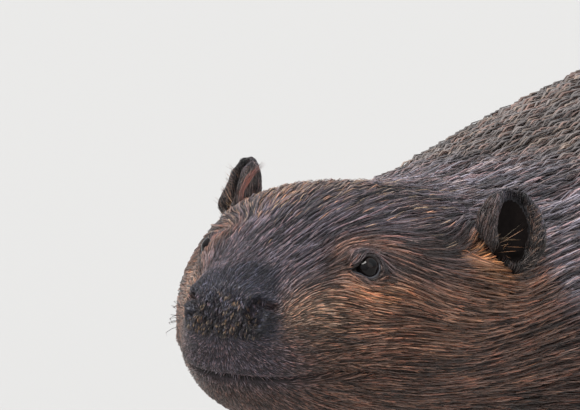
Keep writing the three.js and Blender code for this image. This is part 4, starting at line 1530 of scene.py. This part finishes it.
def shape_toes(part, feet, grip, groove=None):
    """Draws the skin of each toe over its claw, and parts the fingers."""
    points, normals = points_of(part), normals_of(part)
    moved = points.copy()
    for foot in feet:
        starts, ways = claw_roots(foot)
        away = np.linalg.norm(points[:, None] - starts, axis=2) / MM
        for k in range(5):
            moved += ways[k] * (grip * np.exp(-((away[:, k] / 3.6) ** 2)))[:, None] * MM
        if groove:
            deep, wide = groove
            across = unit(starts[4] - starts[0])
            places = np.sort((starts - starts[2]) @ across) / MM
            here = (points - starts[2]) @ across / MM
            cut = sum(np.exp(-(((here - m) / wide) ** 2)) for m in (places[1:] + places[:-1]) / 2)
            cut *= fade(away.min(1), 17, 24)
            moved -= normals * (deep * cut)[:, None] * MM
    move_points(part, moved)


def slim_wrists(part):
    """Draws the back of each forepaw in toward the hand's own axis."""
    at = measured(points_of(part))
    back = at[:, 1] - PALM[1]
    across = np.sign(at[:, 0]) * (PALM[0] + back * WRIST_RUN[0])
    hand = np.stack([across, at[:, 1], PALM[2] + back * WRIST_RUN[1]], 1)
    slim = WRIST_SLIM * smoothstep(at[:, 1], *WRIST)
    move_points(part, ORIGIN + (at + (hand - at) * slim[:, None]) * MM)


def bare_skin(part, colour):
    """Bare hide, darker underneath: painted shade on the faces that turn down."""
    shade = colour * (0.75 + 0.35 * smoothstep(normals_of(part)[:, 2], -0.4, 0.8))[:, None]
    set_colours(part, shade)
    set_floats(part, "bare", np.ones(len(shade)))
    smooth_shaded(part)
    part.data.materials.append(skin_finish)


def horn_material():
    look = Material("claw_horn")
    streaks = look.noise(260.0, 4.0)
    colour = look.mix(streaks, (0.018, 0.013, 0.011, 1), (0.085, 0.060, 0.045, 1))
    return look.finish(colour, 0.32, (streaks, 0.3, 0.0003))


def make_claws(horn):
    for word in SIDES:
        for foot in ("forepaw_claw", "hind_claw"):
            names = [f"{word}_{foot}_{k}" for k in range(1, 6)]
            claws = merged_copy(names, f"{word}_{foot}s")
            with_modifier(claws, "SUBSURF", levels=2)
            smooth_shaded(claws)
            claws.data.materials.append(horn)
            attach(claws, "root")
            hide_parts(*names)


paws = even_skin(FOREPAWS, "forepaws", PAW_VOXEL, 3, 3)
slim_wrists(paws)
shape_toes(paws, FOREPAWS, 2.6, FINGER_GROOVE)
hind_feet = even_skin(HIND_FEET, "hind_feet", HIND_VOXEL, 3, 3)
shape_toes(hind_feet, HIND_FEET, 1.6)
blade = even_skin(["tail_blade"], "tail_blade_skin", BLADE_VOXEL, 12, 12)
for part, colour, light in ((paws, HIDE, 1.1), (hind_feet, HIDE, 1), (blade, TAIL_HIDE, 1)):
    bare_skin(part, np.array(colour) * light)
make_claws(horn_material())
skin = joined([skin, *ears, paws, hind_feet, blade], "skin")


SCALE_LONG, SCALE_WIDE, SCALE_LAP = 6.6, 4.6, 0.78  # and the share of its length that a row takes
SCALES_FROM, SCALES_RUN = 843, 252
SCALE_RINGS = ((0.56, -0.35), (0.50, 0.28))  # size and height of the rim, and of the face
HEXAGON = [(math.cos(k * math.pi / 3), math.sin(k * math.pi / 3)) for k in range(6)]
SCALE_FACES = [(k, (k + 1) % 6, 6 + (k + 1) % 6, 6 + k) for k in range(6)]
SCALE_FACES += [tuple(range(6, 12)), tuple(range(5, -1, -1))]


def scale_corners(middle, normal, face):
    """The twelve corners of one scale, tilted with the surface under it."""
    steep, sign = max(abs(normal.z), 0.3), 1 if normal.z > 0 else -1
    for size, high in SCALE_RINGS:
        for y, x in HEXAGON:
            lap = high + 0.22 * y * (size < 0.55) + 0.1
            corner = middle + np.array([x * SCALE_WIDE * size, y * SCALE_LONG * size, face * lap])
            corner[2] -= (normal.x * x * SCALE_WIDE + normal.y * y * SCALE_LONG) * size / steep * sign
            yield corner


def tail_scales():
    """Flat six-sided scales in rows over both faces of the tail, each lapping the next."""
    tree, _ = surface_tree([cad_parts["tail_blade"]])
    points, faces, seeds = [], [], []

    def cast(face, across, behind):
        """Where the blade is met from above or below."""
        start = Vector(place((across, behind, -50 + face * 60)))
        return tree.ray_cast(start, Vector((0, 0, -face)))

    rows = range(int(SCALES_RUN / (SCALE_LONG * SCALE_LAP)))
    for face, row, column in itertools.product((1, -1), rows, range(-15, 16)):
        behind = SCALES_FROM + row * SCALE_LONG * SCALE_LAP
        across = (column + 0.5 * (row % 2)) * SCALE_WIDE
        hit, normal, _, _ = cast(face, across, behind)
        outer = across * 1.04 + math.copysign(1.5, across)
        if hit is None or cast(face, outer, behind + 3)[0] is None:
            continue  # too near the blade's edge
        made = [tuple(len(points) + k for k in corners) for corners in SCALE_FACES]
        faces += [f if face < 0 else f[::-1] for f in made]
        points += scale_corners(measured(np.array(hit)), normal, face)
        seeds += [dice.random()] * 12
    mesh = bpy.data.meshes.new("tail_scales")
    mesh.from_pydata((ORIGIN + np.array(points) * MM).tolist(), [], faces)
    ob = in_scene("tail_scales", mesh)
    set_floats(ob, "seed", np.array(seeds))
    return ob


def scale_material():
    look = Material("tail_scale")
    one = look.mix(look.attribute("seed"), (0.030, 0.028, 0.030, 1), (0.075, 0.066, 0.062, 1))
    colour = look.mix(look.noise(30.0, 3.0), one, (0.055, 0.042, 0.034, 1))
    return look.finish(colour, 0.42, (look.noise(500.0, 4.0), 0.4, 0.0003))


scales = tail_scales()
scales.data.materials.append(scale_material())
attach(scales, "root")


# ---- Stand: an oiled board and two brushed rods with collars ----
def wood_material():
    look = Material("oiled_walnut")
    rings = look.noise(3.0, 5.0, (14.0, 1.2, 14.0), Distortion=1.2)
    lines = look.math("FRACT", look.times(rings, 9.0))
    pores = look.noise(1.0, 3.0, (900.0, 40.0, 900.0))
    colour = look.mix(lines, (0.085, 0.040, 0.020, 1), (0.160, 0.082, 0.042, 1))
    colour = look.mix(look.times(pores, 0.5), colour, (0.045, 0.020, 0.010, 1))
    return look.finish(colour, 0.42, (pores, 0.25, 0.0003))


def steel_material():
    look = Material("brushed_steel")
    lines = look.noise(1.0, 4.0, (60.0, 60.0, 2400.0))
    colour = look.mix(lines, (0.40, 0.40, 0.41, 1), (0.62, 0.62, 0.63, 1))
    return look.finish(colour, look.ranged(lines, 0.0, 1.0, 0.24, 0.42), Metallic=1.0)


def stand_piece(ob, name, replaced, bevel, material):
    """Names a turned or sawn piece, rounds its edges and gives it its finish."""
    select(ob)
    bpy.ops.object.transform_apply()
    ob.name = ob.data.name = name
    with_modifier(ob, "BEVEL", width=bevel * MM, segments=3, limit_method="ANGLE")
    bpy.ops.object.shade_smooth_by_angle(angle=math.radians(35))
    ob.data.materials.append(material)
    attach(ob, "root")
    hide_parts(replaced)


BOARD_CORNER = 22


def make_stand():
    wood, steel = wood_material(), steel_material()
    low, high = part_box("stand_base")
    bpy.ops.mesh.primitive_cube_add(size=1, location=(low + high) / 2)
    board = bpy.context.object
    board.dimensions = high - low
    bpy.ops.object.transform_apply()
    in_edit_mode((bpy.ops.mesh.select_mode, {"type": "EDGE"}),
                 (bpy.ops.mesh.select_all, {"action": "DESELECT"}))
    for edge in board.data.edges:
        a, b = (board.data.vertices[v].co for v in edge.vertices)
        edge.select = abs(a.z - b.z) > 0.005
    in_edit_mode((bpy.ops.mesh.bevel, {"offset": BOARD_CORNER * MM, "segments": 10}))
    stand_piece(board, "stand_board", "stand_base", 2.0, wood)
    for end in ("front", "back"):
        for part, bevel in (("collar", 1.2), ("rod", 0.6)):
            low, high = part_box(f"stand_{part}_{end}")
            bpy.ops.mesh.primitive_cylinder_add(
                vertices=64, radius=(high.x - low.x) / 2, depth=high.z - low.z,
                location=(low + high) / 2
            )
            name = f"stand_{part}_turned_{end}"
            stand_piece(bpy.context.object, name, f"stand_{part}_{end}", bevel, steel)


make_stand()


# ---- Floor, light and camera ----
def light_world():
    """A soft sky, brighter overhead than at the horizon."""
    world = bpy.data.worlds.new("studio")
    bpy.context.scene.world = world
    world.use_nodes = True
    look = Nodes(world.node_tree)
    way = look.node("ShaderNodeTexCoord").outputs["Generated"]
    height = look.node("ShaderNodeSeparateXYZ", {0: way}).outputs["Z"]
    strength = look.ranged(height, 0.0, 1.0, 0.35, 1.15)
    look.fill(look.tree.nodes["Background"], {"Color": (0.93, 0.95, 1.0, 1), "Strength": strength})


def add_sun(name, azimuth, elevation, strength, angle, colour):
    """A soft sun that shines from that compass direction and height, in degrees."""
    lamp = bpy.data.lights.new(name, "SUN")
    lamp.energy, lamp.angle, lamp.color = strength, math.radians(angle), colour
    tilt = (math.radians(90 - elevation), 0, math.radians(azimuth))
    in_scene(name, lamp).rotation_euler = tilt


def toward(azimuth, elevation):
    """From the object towards a viewer. Azimuth 0 is in front, and 90 is at its left side."""
    a, e = math.radians(azimuth), math.radians(elevation)
    return Vector((math.sin(a) * math.cos(e), -math.cos(a) * math.cos(e), math.sin(e)))


CAMERA_AZIMUTH, CAMERA_ELEVATION, CAMERA_AWAY = 26.7, 14.5, 7.0
FRAME_WIDTH = 0.2358  # of what the camera sees at the head
AIM = (-8.4, 80, 31.6)
FLOOR_SIZE, FARTHEST_SEEN = 160, 500

bpy.ops.mesh.primitive_plane_add(size=FLOOR_SIZE)
floor = bpy.context.object
floor.name = "floor"
floor.data.materials.append(Material("floor_paint").finish((0.50, 0.50, 0.49, 1), 0.9))

light_world()
add_sun("sky_key", -35, 58, 2.6, 24, (1.0, 0.96, 0.91))
add_sun("sky_fill", 60, 35, 0.6, 60, (0.95, 0.97, 1.0))

camera_data = bpy.data.cameras.new("camera")
camera_data.lens = camera_data.sensor_width * CAMERA_AWAY / FRAME_WIDTH
camera_data.clip_end = FARTHEST_SEEN
camera = in_scene("camera", camera_data)
facing = toward(CAMERA_AZIMUTH, CAMERA_ELEVATION)
camera.location = Vector(place(AIM)) + facing * CAMERA_AWAY
camera.rotation_euler = facing.to_track_quat("Z", "Y").to_euler()
bpy.context.scene.camera = camera
bpy.context.scene.view_settings.view_transform = "Standard"

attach(skin, "root")
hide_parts(*FLESH)
